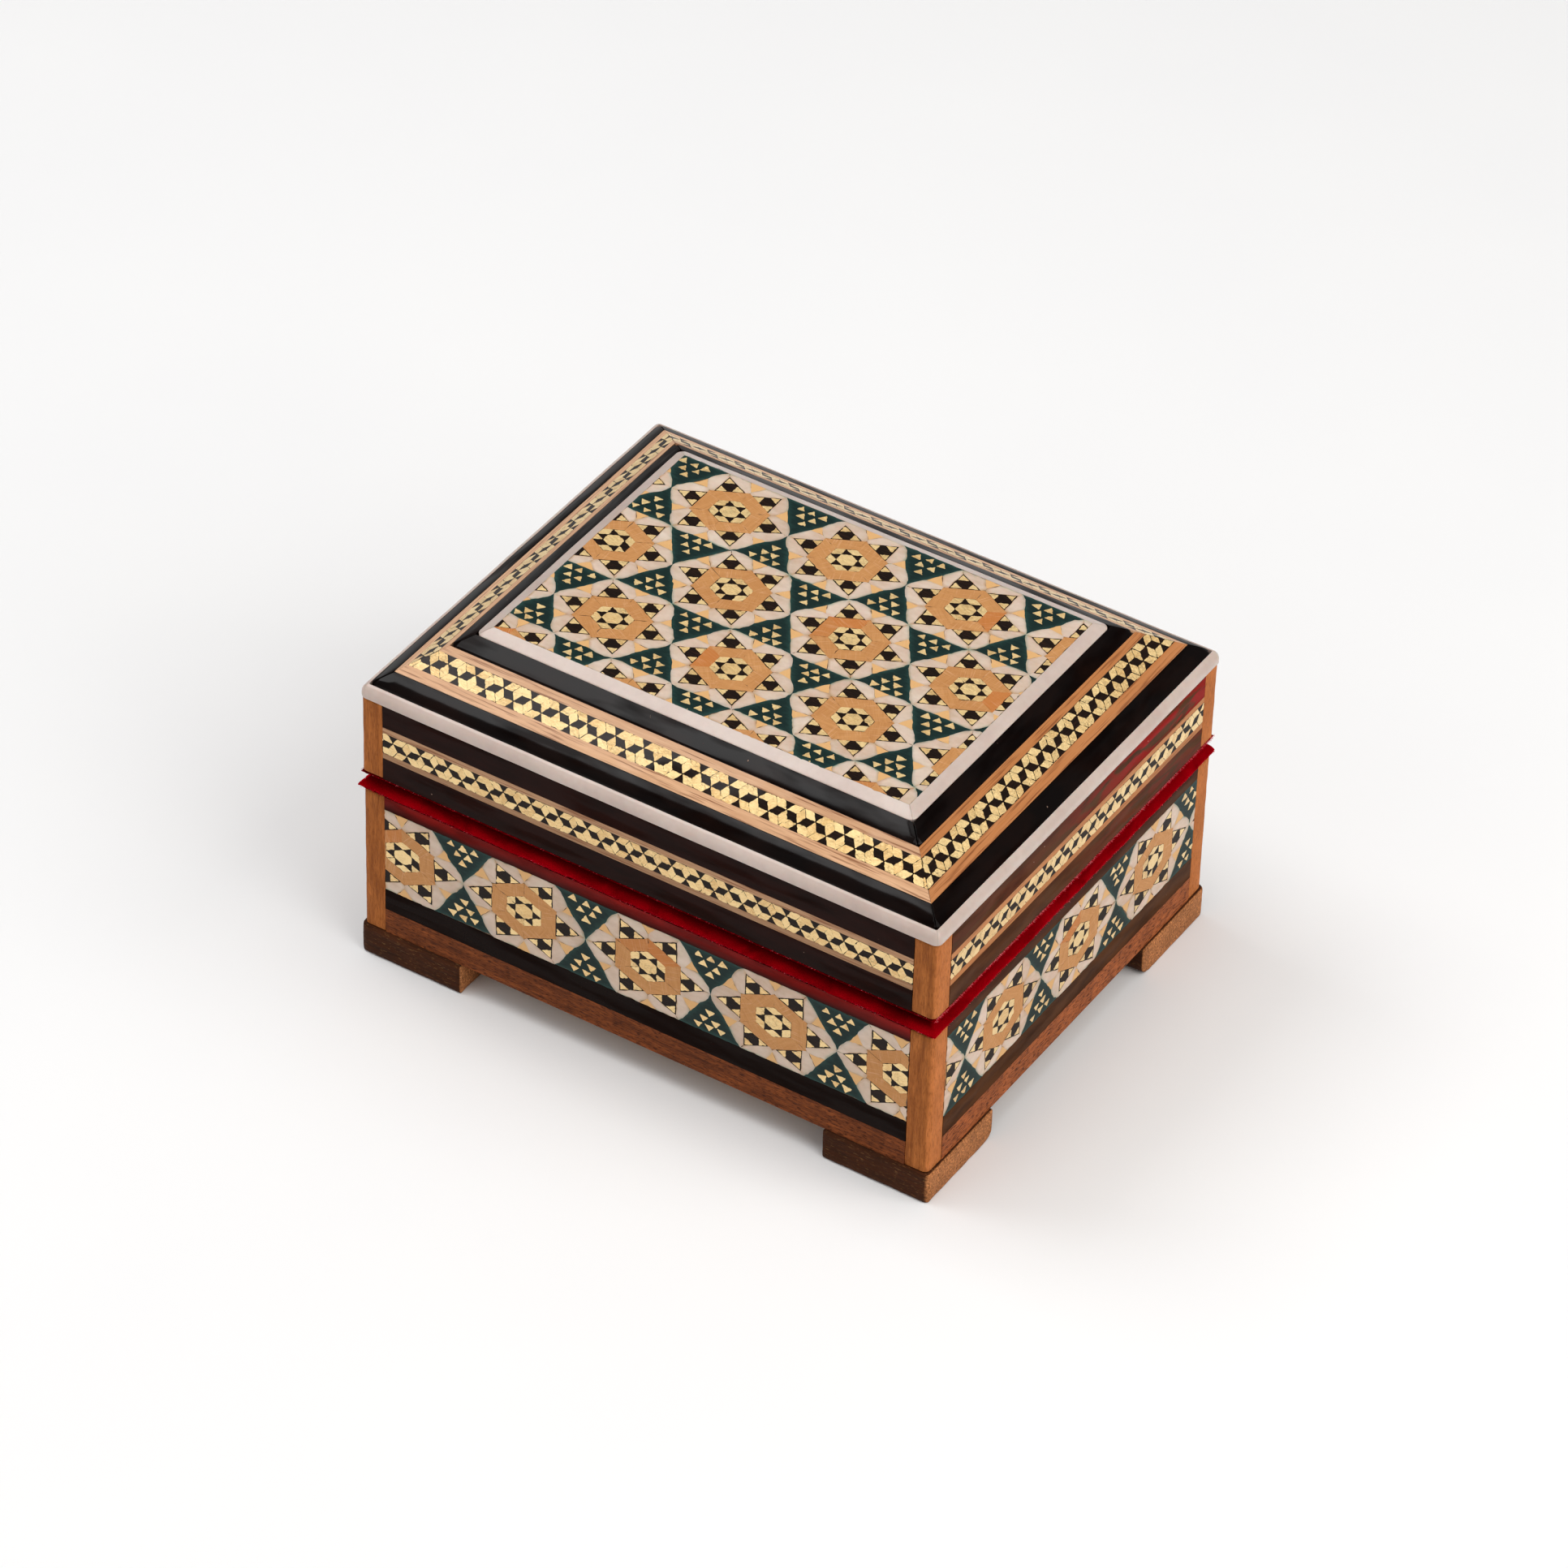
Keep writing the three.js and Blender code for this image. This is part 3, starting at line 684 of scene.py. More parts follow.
def slope_bands():
    """The mitred bands on the slope. On the right their stringing is browner."""
    (x0, y0, z0), (x1, y1, z1) = SLOPE[1], SLOPE[2]
    outer, inner = STRINGING_SLOPE
    for seed, (side, degrees) in enumerate(SIDES, 41):
        long_outer, long_inner = (y0, y1) if degrees % 180 else (x0, x1)
        reach, reach_in = (x0, x1) if degrees % 180 else (y0, y1)
        run, rise = reach - reach_in, z1 - z0
        width = math.hypot(run, rise)
        turn = Matrix.Rotation(math.radians(degrees), 4, "Z")
        upslope = Vector((0, run, rise)) / width
        plane = Matrix((Vector((1, 0, 0)), upslope, Vector((1, 0, 0)).cross(upslope))).transposed().to_4x4()
        origin = Vector((0, CENTRE_Y, 0)) + turn.to_3x3() @ Vector((0, -reach, z0))
        window = [
            Vector((-long_outer, 0)),
            Vector((long_outer, 0)),
            Vector((long_inner, width)),
            Vector((-long_inner, width)),
        ]
        matrix = Matrix.Translation(origin) @ turn @ plane
        inlay = Inlay(inset(window, 0.03 * MM), matrix, STRIP * 0.8, seed)
        gap, tone = (BORDER_JOINT_RIGHT, 0.5) if side == "right" else (BORDER_JOINT, 1.0)
        lay_border(inlay, outer, width - inner, long_outer, gap)
        lay_stringing(inlay, 0, outer, long_outer, tone)
        lay_stringing(inlay, width - inner, width, long_outer, tone - 0.15)
        inlay.add(f"slope_band_{side}", "brass_marquetry")


# ---- Shader nodes ------------------------------------------------------------------------------

SHADER_INPUTS = {
    "colour": "Base Color", "rough": "Roughness", "metal": "Metallic", "normal": "Normal",
    "coat": "Coat Weight", "coat_rough": "Coat Roughness", "coat_normal": "Coat Normal",
    "sheen": "Sheen Weight", "sheen_rough": "Sheen Roughness", "sheen_tint": "Sheen Tint",
    "under": "Subsurface Weight", "under_scale": "Subsurface Scale", "shine": "Specular IOR Level",
}


def feed(tree, socket, value):
    """Links an input to a socket, or sets it to a value or to a colour's name."""
    if isinstance(value, bpy.types.NodeSocket):
        tree.links.new(value, socket)
    elif isinstance(value, str):
        socket.default_value = (*COLOUR[value], 1.0)
    else:
        socket.default_value = value


def node(tree, kind, inputs=None, **settings):
    made = tree.nodes.new(kind)
    for key, value in settings.items():
        setattr(made, key, value)
    for key, value in (inputs or {}).items():
        feed(tree, made.inputs[key], value)
    return made


def new_material(name):
    """A node material with one principled shader. Returns the material, its tree and the shader."""
    material = bpy.data.materials.new(name)
    material.use_nodes = True
    return material, material.node_tree, material.node_tree.nodes["Principled BSDF"]


def dress(tree, shader, **inputs):
    for key, value in inputs.items():
        feed(tree, shader.inputs[SHADER_INPUTS[key]], value)


def lacquered(tree, shader, coat=LACQUER, coat_rough=0.05, shine=0.0, **inputs):
    """Dresses a surface that lies under the clear coat."""
    dress(tree, shader, coat=coat, coat_rough=coat_rough, coat_normal=lacquer_waves(tree), shine=shine,
          **inputs)


def attribute(tree, name):
    return node(tree, "ShaderNodeAttribute", attribute_name=name).outputs["Fac"]


def along_axis(tree, vector, axis):
    return node(tree, "ShaderNodeSeparateXYZ", {0: vector}).outputs[axis]


def place(tree, stretch=(1, 1, 1), source="object"):
    """Coordinates in millimetres: of the object, or along each tile's own grain."""
    if source == "object":
        vector = node(tree, "ShaderNodeTexCoord").outputs["Object"]
        scale = tuple(s / MM for s in stretch)
    else:
        vector = node(tree, "ShaderNodeAttribute", attribute_name="grain").outputs["Vector"]
        scale = stretch
    return node(tree, "ShaderNodeMapping", {"Vector": vector, "Scale": scale}).outputs["Vector"]


def noisy(tree, scale, stretch=(1, 1, 1), source="object", detail=4, roughness=0.55, distortion=0.0):
    """Noise with about as many features in a millimetre as the scale says."""
    inputs = {
        "Vector": place(tree, stretch, source), "Scale": scale, "Detail": detail, "Roughness": roughness,
        "Distortion": distortion,
    }
    return node(tree, "ShaderNodeTexNoise", inputs).outputs["Fac"]


def spread(tree, value, low_in, high_in, low_out=0.0, high_out=1.0):
    """Maps one range of values to another, and holds the result at its ends."""
    inputs = {"Value": value, "From Min": low_in, "From Max": high_in, "To Min": low_out, "To Max": high_out}
    return node(tree, "ShaderNodeMapRange", inputs).outputs["Result"]


def mixed(tree, share, first, second):
    made = node(tree, "ShaderNodeMix", data_type="RGBA")
    values = {"Factor_Float": share, "A_Color": first, "B_Color": second}
    for socket in made.inputs:
        if socket.identifier in values:
            feed(tree, socket, values[socket.identifier])
    return next(s for s in made.outputs if s.identifier == "Result_Color")


def maths(tree, operation, first, second):
    return node(tree, "ShaderNodeMath", {0: first, 1: second}, operation=operation).outputs[0]


def product(tree, first, second):
    return maths(tree, "MULTIPLY", first, second)


def weighted(tree, first, share, second, other_share):
    """The sum of two values, each times its share."""
    parts = [value if part == 1 else product(tree, value, part)
             for value, part in ((first, share), (second, other_share))]
    return maths(tree, "ADD", *parts)


def bumped(tree, height, distance, strength=1.0):
    inputs = {"Height": height, "Distance": distance, "Strength": strength}
    return node(tree, "ShaderNodeBump", inputs).outputs["Normal"]


def painted_right_light(tree, least, most, share):
    """How far a surface faces right, from 0 to a share: a mask for light painted on those sides."""
    normal = node(tree, "ShaderNodeNewGeometry").outputs["Normal"]
    return spread(tree, along_axis(tree, normal, "X"), least, most, 0.0, share)


def lacquer_waves(tree):
    """The long, low waves of hand-rubbed lacquer, as a normal for the clear coat."""
    specks = spread(tree, noisy(tree, 1.3, detail=1), 0.80, 0.83)
    height = weighted(tree, noisy(tree, 0.09, detail=1.5), 1, specks, 0.1)
    return bumped(tree, height, 0.2 * MM, 0.5)


def grain_wood(tree, stretch, scale, source, light, dark, contrast):
    """Fine fibres over broader bands. Returns the colour and the height of the grain."""
    fibres = noisy(tree, scale, stretch, source, detail=6, roughness=0.65, distortion=0.3)
    broad = noisy(tree, scale, tuple(s * 0.3 for s in stretch), source, detail=2)
    shade = weighted(tree, fibres, 0.65, broad, 0.35)
    return mixed(tree, spread(tree, shade, *contrast), dark, light), fibres


# ---- Materials of the inlay --------------------------------------------------------------------

def brass_tile_material():
    """Thin crinkled foil: brushed ridges across each tile, some dents and a few hairline cracks."""
    material, tree, shader = new_material("brass_tiles")
    ridges = noisy(tree, 1.3, (1.3, 5.5, 1), "grain", detail=5, roughness=0.6, distortion=0.9)
    dents = noisy(tree, 1.6, source="grain", detail=3, distortion=0.5)
    cells = {"Vector": place(tree, source="grain"), "Scale": 1.7, "Randomness": 1.0}
    edges = node(tree, "ShaderNodeTexVoronoi", cells, feature="DISTANCE_TO_EDGE").outputs["Distance"]
    patches = spread(tree, noisy(tree, 0.5, source="grain", detail=2), 0.5, 0.62)
    cracks = product(tree, spread(tree, edges, 0.03, 0.0), patches)
    shade = weighted(tree, ridges, 0.8, attribute(tree, "tone"), 0.2)
    tint = mixed(tree, spread(tree, shade, 0.26, 0.56), "brass_dark", "brass_light")
    tint = mixed(tree, product(tree, cracks, 0.35), tint, "brass_crack")
    height = maths(tree, "SUBTRACT", weighted(tree, ridges, 0.5, dents, 1), product(tree, cracks, 0.6))
    lacquered(tree, shader, colour=tint, metal=0.5, rough=spread(tree, ridges, 0.3, 0.7, 0.46, 0.3),
              normal=bumped(tree, height, 0.16 * MM), coat_rough=0.06, shine=0.5)
    return material


def black_tile_material():
    material, tree, shader = new_material("black_tiles")
    streak = noisy(tree, 1.2, (0.5, 5, 1), "grain")
    tint = mixed(tree, spread(tree, streak, 0.5, 0.85), "black", "black_warm")
    lacquered(tree, shader, colour=tint, rough=0.45)
    return material


def green_tile_material():
    """Dyed wood, lighter towards the outline of each tile."""
    material, tree, shader = new_material("green_tiles")
    dye = noisy(tree, 0.8, (1, 3, 1), "grain", detail=5)
    edge = maths(tree, "POWER", attribute(tree, "rim"), 6.0)
    edge = maths(tree, "ADD", edge, spread(tree, dye, 0.3, 0.8, -0.2, 0.3))
    tint = mixed(tree, spread(tree, edge, 0.05, 1.1), "green_dark", "green_edge")
    lacquered(tree, shader, colour=tint, rough=0.5, normal=bumped(tree, dye, 0.03 * MM, 0.5))
    return material


def bone_tile_material():
    """Cloudy bone with brown edges, and with green ones where a bone lies against the green."""
    material, tree, shader = new_material("bone_tiles")
    cloud = noisy(tree, 0.5, (1, 1.6, 1), "grain", detail=5)
    shade = weighted(tree, cloud, 0.8, attribute(tree, "tone"), 0.35)
    tint = mixed(tree, spread(tree, shade, 0.3, 0.85), "bone_light", "bone_dark")
    patchy = spread(tree, noisy(tree, 0.35, detail=4), 0.4, 0.65, 0.15, 1.0)
    brown = product(tree, spread(tree, attribute(tree, "rim"), 0.72, 1.0, 0.0, 0.8), patchy)
    tint = mixed(tree, brown, tint, "bone_edge")
    green = product(tree, maths(tree, "POWER", attribute(tree, "dye"), 4.0), patchy)
    tint = mixed(tree, product(tree, green, 0.85), tint, "bone_green")
    lacquered(tree, shader, colour=tint, rough=0.4, under=0.25, under_scale=0.4 * MM)
    return material


def ring_wood_material():
    """Orange wood with fine saw lines. The lowest tone is for the pale wedges, the highest for the
    odd redder lengths of a ring."""
    material, tree, shader = new_material("ring_wood")
    tint, fibres = grain_wood(tree, (0.5, 7.5, 1), 1.1, "grain", "ring_light", "ring_dark", (0.2, 0.62))
    tone = attribute(tree, "tone")
    tint = mixed(tree, spread(tree, tone, 0.45, 1.0, 0.0, 0.4), tint, "ring_dark")
    tint = mixed(tree, spread(tree, tone, 0.86, 0.95, 0.0, 0.5), tint, "ring_orange")
    tint = mixed(tree, spread(tree, tone, 0.15, 0.05, 0.0, 0.75), tint, "wedge")
    sawn = noisy(tree, 1.0, (7.0, 0.3, 1), "grain", detail=2)
    tint = mixed(tree, spread(tree, sawn, 0.56, 0.68, 0.0, 0.28), tint, "line_light")
    lacquered(tree, shader, colour=tint, rough=0.45, normal=bumped(tree, fibres, 0.02 * MM, 0.5))
    return material


def glue_material():
    material, tree, shader = new_material("glue")
    tint = mixed(tree, spread(tree, noisy(tree, 1.5), 0.35, 0.7), "glue", "black")
    dress(tree, shader, colour=tint, rough=0.4, coat=LACQUER, coat_rough=0.05, shine=0.0)
    return material


def line_wood_material():
    """Stringing with long dark pores. Its tone runs from brown to pale, and on the sides that face
    right it is painted more orange: painted warm light from the right."""
    material, tree, shader = new_material("line_wood")
    pale, fibres = grain_wood(tree, (0.16, 2.6, 1), 0.9, "grain", "line_light", "line_dark", (0.1, 0.75))
    brown = mixed(tree, 0.75, pale, "line_brown")
    tint = mixed(tree, attribute(tree, "tone"), brown, pale)
    # Painted light: the sides that face right are painted more orange, as if lit warm from the right.
    tint = mixed(tree, painted_right_light(tree, 0.2, 0.4, 0.6), tint, "line_orange")
    pores = spread(tree, noisy(tree, 1.0, (0.13, 3.6, 1), "grain", detail=3), 0.52, 0.66)
    tint = mixed(tree, product(tree, pores, 0.75), tint, "line_pore")
    lacquered(tree, shader, colour=tint, rough=0.45, normal=bumped(tree, fibres, 0.02 * MM, 0.5))
    return material


@cache
def tile_materials():
    """The materials of the kinds of tile, in the order of the kinds."""
    return (
        brass_tile_material(), black_tile_material(), green_tile_material(), bone_tile_material(),
        ring_wood_material(), glue_material(), line_wood_material(),
    )


# ---- Materials of the rest ---------------------------------------------------------------------

def along_grain(across, along, grain_axis):
    """Stretch of the coordinates, so that marks run along one axis."""
    stretch = [across, across, across]
    stretch[grain_axis] = along
    return tuple(stretch)


def solid_wood(name, light, dark, grain_axis, pore_depth=0.0, flecks=None, painted_lit=None, coat=0.0):
    """Plain wood whose grain runs along one axis. Pores are short dark marks and flecks short light
    ones. The sides that face right are painted lighter, towards a lit colour: painted light from the right."""
    material, tree, shader = new_material(name)
    stretch = along_grain(2.6, 0.22, grain_axis)
    tint, fibres = grain_wood(tree, stretch, 1.3, "object", light, dark, (0.32, 0.62))
    # Painted light: the sides that face right are painted lighter, as if lit from the right.
    if painted_lit:
        pale = mixed(tree, spread(tree, fibres, 0.3, 0.7), light, painted_lit)
        tint = mixed(tree, painted_right_light(tree, 0.35, 0.75, 0.92), tint, pale)
    height = fibres
    marks = noisy(tree, 1.0, along_grain(6.0, 1.1, grain_axis), detail=3)
    if pore_depth:
        pores = spread(tree, marks, 0.54, 0.62, 0.0, pore_depth)
        tint = mixed(tree, pores, tint, dark)
        height = maths(tree, "SUBTRACT", fibres, pores)
    if flecks:
        tint = mixed(tree, spread(tree, marks, 0.40, 0.32, 0.0, 0.55), tint, flecks)
    soil = spread(tree, noisy(tree, 0.28, detail=3), 0.4, 0.7, 0.3, 0.0)
    tint = mixed(tree, soil, tint, dark)
    dress(tree, shader, colour=tint, rough=spread(tree, fibres, 0.3, 0.7, 0.45, 0.65), shine=0.05,
          normal=bumped(tree, height, 0.12 * MM, 0.7), coat=coat, coat_rough=0.2)
    return material


def painted_red_highlight(tree):
    """A painted red highlight in streaks, strongest on the strip above the band and towards the back."""
    streaks = noisy(tree, 1.0, (0.15, 0.15, 0.7), detail=3, distortion=0.8)
    band = (low("lid_band_right").z + high("lid_band_right").z) / 2 / MM
    above = spread(tree, along_axis(tree, place(tree), "Z"), band, band + 0.1, 0.25, 1.0)
    behind = spread(tree, along_axis(tree, place(tree), "Y"), -8, 16, 0.08, 0.95)
    return product(tree, spread(tree, streaks, 0.42, 0.56), product(tree, above, behind))


def velvet_painted_seam_light(tree):
    """Mask for light painted under the velvet's rim: a red reflection, and painted shade on the right."""
    edge = high("base_facing_front").z / MM
    painted_seam_light = spread(tree, along_axis(tree, place(tree), "Z"), edge - 2.3, edge - 0.2)
    ragged = spread(tree, noisy(tree, 0.6, (0.25, 0.25, 1), detail=4), 0.3, 0.7, 0.35, 1.0)
    return product(tree, painted_seam_light, ragged)


def lacquer_material(name, tone="lacquer", coat=LACQUER, brown=False, with_painted_highlight=False, painted_seam_light=None):
    """Dark strips under gloss lacquer, with specks of dust in it. Options paint light on them: a brown
    sheen, red highlights in streaks, and a red reflection of the velvet, which is shade on the right."""
    material, tree, shader = new_material(name)
    cloud = noisy(tree, 0.5, (0.3, 0.3, 1), detail=3)
    tint = mixed(tree, spread(tree, cloud, 0.4, 0.75), tone, "lacquer_warm")
    # Painted light: a brown sheen painted on the lacquer of the right side.
    if brown:
        tint = mixed(tree, spread(tree, cloud, 0.25, 0.6, 0.35, 1.0), tint, "lacquer_brown")
    # Painted highlight: streaks of red painted on the lid's right side.
    if with_painted_highlight:
        tint = mixed(tree, painted_red_highlight(tree), tint, "lacquer_red")
    # Painted light just under the velvet's rim: its red reflection, and painted shade on the right.
    if painted_seam_light:
        tint = mixed(tree, velvet_painted_seam_light(tree), tint, painted_seam_light)
    dust = spread(tree, noisy(tree, 1.3, detail=1), 0.80, 0.83, 0.0, 0.4)
    tint = mixed(tree, dust, tint, "bone_dark")
    worn = spread(tree, noisy(tree, 1.0, (0.06, 0.06, 0.5), detail=3), 0.40, 0.52, 0.45 * coat, coat)
    lacquered(tree, shader, colour=tint, rough=0.32, coat=worn, coat_rough=0.08)
    return material


def facing_materials():
    """The lacquer of each facing, by the name of its node. The right side's has a painted brown sheen."""
    base = lacquer_material("base_lacquer", "lacquer_base", SIDE_LACQUER, painted_seam_light="lacquer_red")
    base_right = lacquer_material("base_lacquer_painted_sheen", "lacquer_base", SIDE_LACQUER, brown=True,
                                  painted_seam_light="lacquer_shade")
    lid = lacquer_material("lid_lacquer", "lacquer_lid", SIDE_LACQUER)
    # The lid's right side also gets the painted red highlight.
    lid_right = lacquer_material("lid_lacquer_painted_sheen", "lacquer_lid", SIDE_LACQUER, brown=True, with_painted_highlight=True)
    made = {}
    for side, _ in SIDES:
        made[f"base_facing_{side}"] = base_right if side == "right" else base
        made[f"lid_facing_{side}"] = lid_right if side == "right" else lid
    return made


def trim_material():
    material, tree, shader = new_material("bone_trim")
    fine = noisy(tree, 0.9, detail=4)
    shade = weighted(tree, noisy(tree, 0.09, detail=5), 0.7, fine, 0.3)
    tint = mixed(tree, spread(tree, shade, 0.35, 0.75), "trim_light", "trim_dark")
    lacquered(tree, shader, colour=tint, rough=0.35, under=0.2, under_scale=0.5 * MM, coat_rough=0.08,
              normal=bumped(tree, fine, 0.02 * MM, 0.4), shine=0.5)
    return material


def velvet_material(name, light, dark, edge):
    """Short pile, darker or lighter with its nap. A painted sheen brightens it where it is seen at a
    grazing angle, and painted shade darkens it and weakens its sheen where a vertex lies in the seam."""
    material, tree, shader = new_material(name)
    pile = noisy(tree, 7.0, detail=3)
    nap = noisy(tree, 0.8, (0.25, 0.25, 0.6), detail=4, distortion=0.8)
    shade = weighted(tree, nap, 0.7, pile, 0.3)
    tint = mixed(tree, spread(tree, shade, 0.32, 0.68), dark, light)
    # Painted sheen: the pile is painted brighter where it is seen at a grazing angle.
    facing = node(tree, "ShaderNodeLayerWeight", {"Blend": 0.35}).outputs["Facing"]
    tint = mixed(tree, maths(tree, "POWER", facing, 1.6), tint, edge)
    # Painted shade: a vertex's shade darkens the pile and weakens its sheen where it lies in the seam.
    depth = attribute(tree, "depth")
    tint = mixed(tree, depth, tint, "velvet_hidden")
    height = weighted(tree, pile, 0.6, nap, 0.8)
    dress(tree, shader, colour=tint, rough=0.95, shine=0.0, normal=bumped(tree, height, 0.18 * MM),
          sheen=spread(tree, depth, 0.0, 0.8, 0.5, 0.05), sheen_rough=0.3, sheen_tint="velvet_sheen")
    return material


def hinge_material():
    material, tree, shader = new_material("hinge_brass")
    tarnish = noisy(tree, 0.45, detail=5)
    scratch = noisy(tree, 0.9, (0.5, 0.5, 7), detail=4)
    tint = mixed(tree, spread(tree, tarnish, 0.35, 0.7), "hinge_light", "hinge_dark")
    dress(tree, shader, colour=tint, metal=1.0, rough=spread(tree, tarnish, 0.3, 0.7, 0.24, 0.48),
          normal=bumped(tree, scratch, 0.02 * MM, 0.5))
    return material


# ---- Rings of mitred strips on the lid ---------------------------------------------------------

def side_frame(side):
    """Directions along and out of one side."""
    along = (Vector((1, 0, 0)), Vector((0, 1, 0)), Vector((-1, 0, 0)), Vector((0, -1, 0)))[side]
    return along, Vector((along.y, -along.x, 0))


def mitred_ring(name, node_name, section, material, gap, seed):
    """Four strips round the lid, mitred at the corners. The section is a closed list of
    (half length, half depth, height), from the outer bottom over the top to the inner bottom."""
    pick = random.Random(seed)
    outermost = max(point[0] for point in section)
    arcs = 4
    straight = 48
    stations = [(-1, k / arcs) for k in range(arcs + 1)]
    stations += [(0, k / straight) for k in range(1, straight)]
    stations += [(1, 1 - k / arcs) for k in range(arcs + 1)]
    count = len(section)
    vertices, faces = [], []
    for side in range(4):
        along, out = side_frame(side)
        gaps = [gap * pick.uniform(0.5, 1.4), gap * pick.uniform(0.5, 1.4)]
        base = len(vertices)
        for end, t in stations:
            for half_x, half_y, z in section:
                half_along, half_out = (half_y, half_x) if side % 2 else (half_x, half_y)
                radius = max(PLAN_RADIUS - (outermost - half_x), 0.2 * MM)
                reach = half_along - radius
                if end:
                    angle = math.radians(45 + 45 * t)
                    slide = end * (reach + radius * math.cos(angle) - gaps[end > 0] * (1 - t))
                    spot = along * slide + out * (half_out - radius + radius * math.sin(angle))
                else:
                    spot = along * reach * (2 * t - 1) + out * half_out
                spot += Vector((0, CENTRE_Y, z))
                vertices.append(spot + wander(spot, 130, 0.035 * MM))
        faces += skin(range(base, len(vertices), count), count)
        faces.append(tuple(range(base, base + count)))
        faces.append(tuple(reversed(range(len(vertices) - count, len(vertices)))))
    mesh = smoothed(new_mesh(name, vertices, faces, [material]), flat_ends=True)
    mesh.set_sharp_from_angle(angle=math.radians(35))
    add_piece(name, mesh, node_name)


def strip_section(number, crown):
    """The section of the strip inside one of the slope's joints, its lacquered top crowned by so many
    millimetres and its edges softened."""
    joint = 0.02 * MM
    edge = 0.03 * MM
    steps = 10
    outer, inner = SLOPE[number], SLOPE[number + 1]
    outer = [outer[0] - joint, outer[1] - joint, outer[2]]
    inner = [inner[0] + joint, inner[1] + joint, inner[2]]
    width = math.hypot(outer[0] - inner[0], inner[2] - outer[2])
    slope = (outer[0] - inner[0]) / width
    rise = (inner[2] - outer[2]) / width
    section = [(outer[0], outer[1], outer[2] - STRIP), (outer[0], outer[1], outer[2] - edge)]
    for k in range(steps + 1):
        t = 0.01 + 0.98 * k / steps
        lift = crown * MM * (1 - (2 * t - 1) ** 2) - 0.01 * MM
        x, y, z = (a + (b - a) * t for a, b in zip(outer, inner))
        section.append((x + lift * rise, y + lift * rise, z + lift * slope))
    return section + [(inner[0], inner[1], inner[2] - edge), (inner[0], inner[1], inner[2] - STRIP)]


def trim_section():
    """The white edge strip: a steep rounded bevel, from the lid's side up to the black strip."""
    lo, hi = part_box("edge_trim")
    joint = hi.x - SLOPE[0][0]
    rise = SLOPE[0][2] - lo.z
    profile = (
        (0.10, 0.00), (0.00, 0.10), (0.00, 0.30), (0.04, 0.48), (0.14, 0.63), (0.32, 0.77),
        (0.56, 0.89), (0.82, 0.97), (0.98, 0.99), (1.00, 0.90), (1.00, 0.00),
    )
    return [(hi.x - a * joint, hi.y - CENTRE_Y - a * joint, lo.z + b * rise) for a, b in profile]


def lid_rings(black, white):
    """The rings, from the outside in. Gaps at the mitres are in millimetres."""
    rings = (
        ("edge_trim", "edge_trim_strips", trim_section(), white, "bone", 0.02),
        ("outer_black_strips", "outer_black_mitred", strip_section(0, 0.07), black, "black_lacquer", 0.09),
        ("inner_black_strips", "inner_black_mitred", strip_section(2, 0.03), black, "black_lacquer", 0.09),
        ("bone_frame", "bone_frame_mitred", strip_section(3, 0.015), white, "bone", 0.03),
    )
    for seed, (node_name, name, section, material, slot, gap) in enumerate(rings, 51):
        mitred_ring(name, node_name, section, material, gap * MM, seed)


# ---- Solid wood: posts and feet, and the nodes that keep their shape ---------------------------

def post_section(half):
    """A post's outline, its outer edge rounded and its other edges just broken."""
    section = []
    for corner_x, corner_y in ((1, -1), (1, 1), (-1, 1), (-1, -1)):
        radius, steps = 0.15 * MM, 2
        if (corner_x, corner_y) == (1, -1):
            radius, steps = POST_ARRIS, 8
        start = math.atan2(corner_y, corner_x) - math.pi / 4
        for k in range(steps + 1):
            angle = start + math.pi / 2 * k / steps
            section.append(Vector((corner_x * (half.x - radius) + radius * math.cos(angle),
                                   corner_y * (half.y - radius) + radius * math.sin(angle))))
    return section


def rounded_post(node_name, sign_x, sign_y, material):
    """A corner post with its outer edge rounded and all its edges a little worn."""
    lo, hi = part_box(node_name)
    middle = (lo + hi) / 2
    half = (hi - lo) / 2
    section = post_section(half)
    turn = Matrix.Rotation(math.atan2(sign_y, sign_x) + math.pi / 4, 2)
    rings = 26
    length = hi.z - lo.z - 2 * POST_WEAR
    levels = [(lo.z, POST_WEAR)]
    levels += [(lo.z + POST_WEAR + length * k / rings, 0.0) for k in range(rings)]
    levels += [(hi.z - POST_WEAR, 0.0), (hi.z, POST_WEAR)]
    count = len(section)
    vertices = []
    for z, draw in levels:
        for p in section:
            q = turn @ (p * (1 - draw / half.x))
            point = Vector((middle.x + q.x, middle.y + q.y, z))
            vertices.append(point + wander(point, 420, 0.05 * MM, z * 90))
    top = len(vertices) - count
    faces = skin(range(top, -1, -count), count)
    faces.append(tuple(reversed(range(count))))
    faces.append(tuple(range(top, len(vertices))))
    name = f"{node_name}_worn"
    mesh = smoothed(new_mesh(name, vertices, faces, [material]), flat_ends=True)
    add_piece(name, mesh, node_name)


def posts(material):
    for corner, sign_x, sign_y in CORNERS:
        for part in ("base", "lid"):
            rounded_post(f"{part}_post_{corner}", sign_x, sign_y, material)


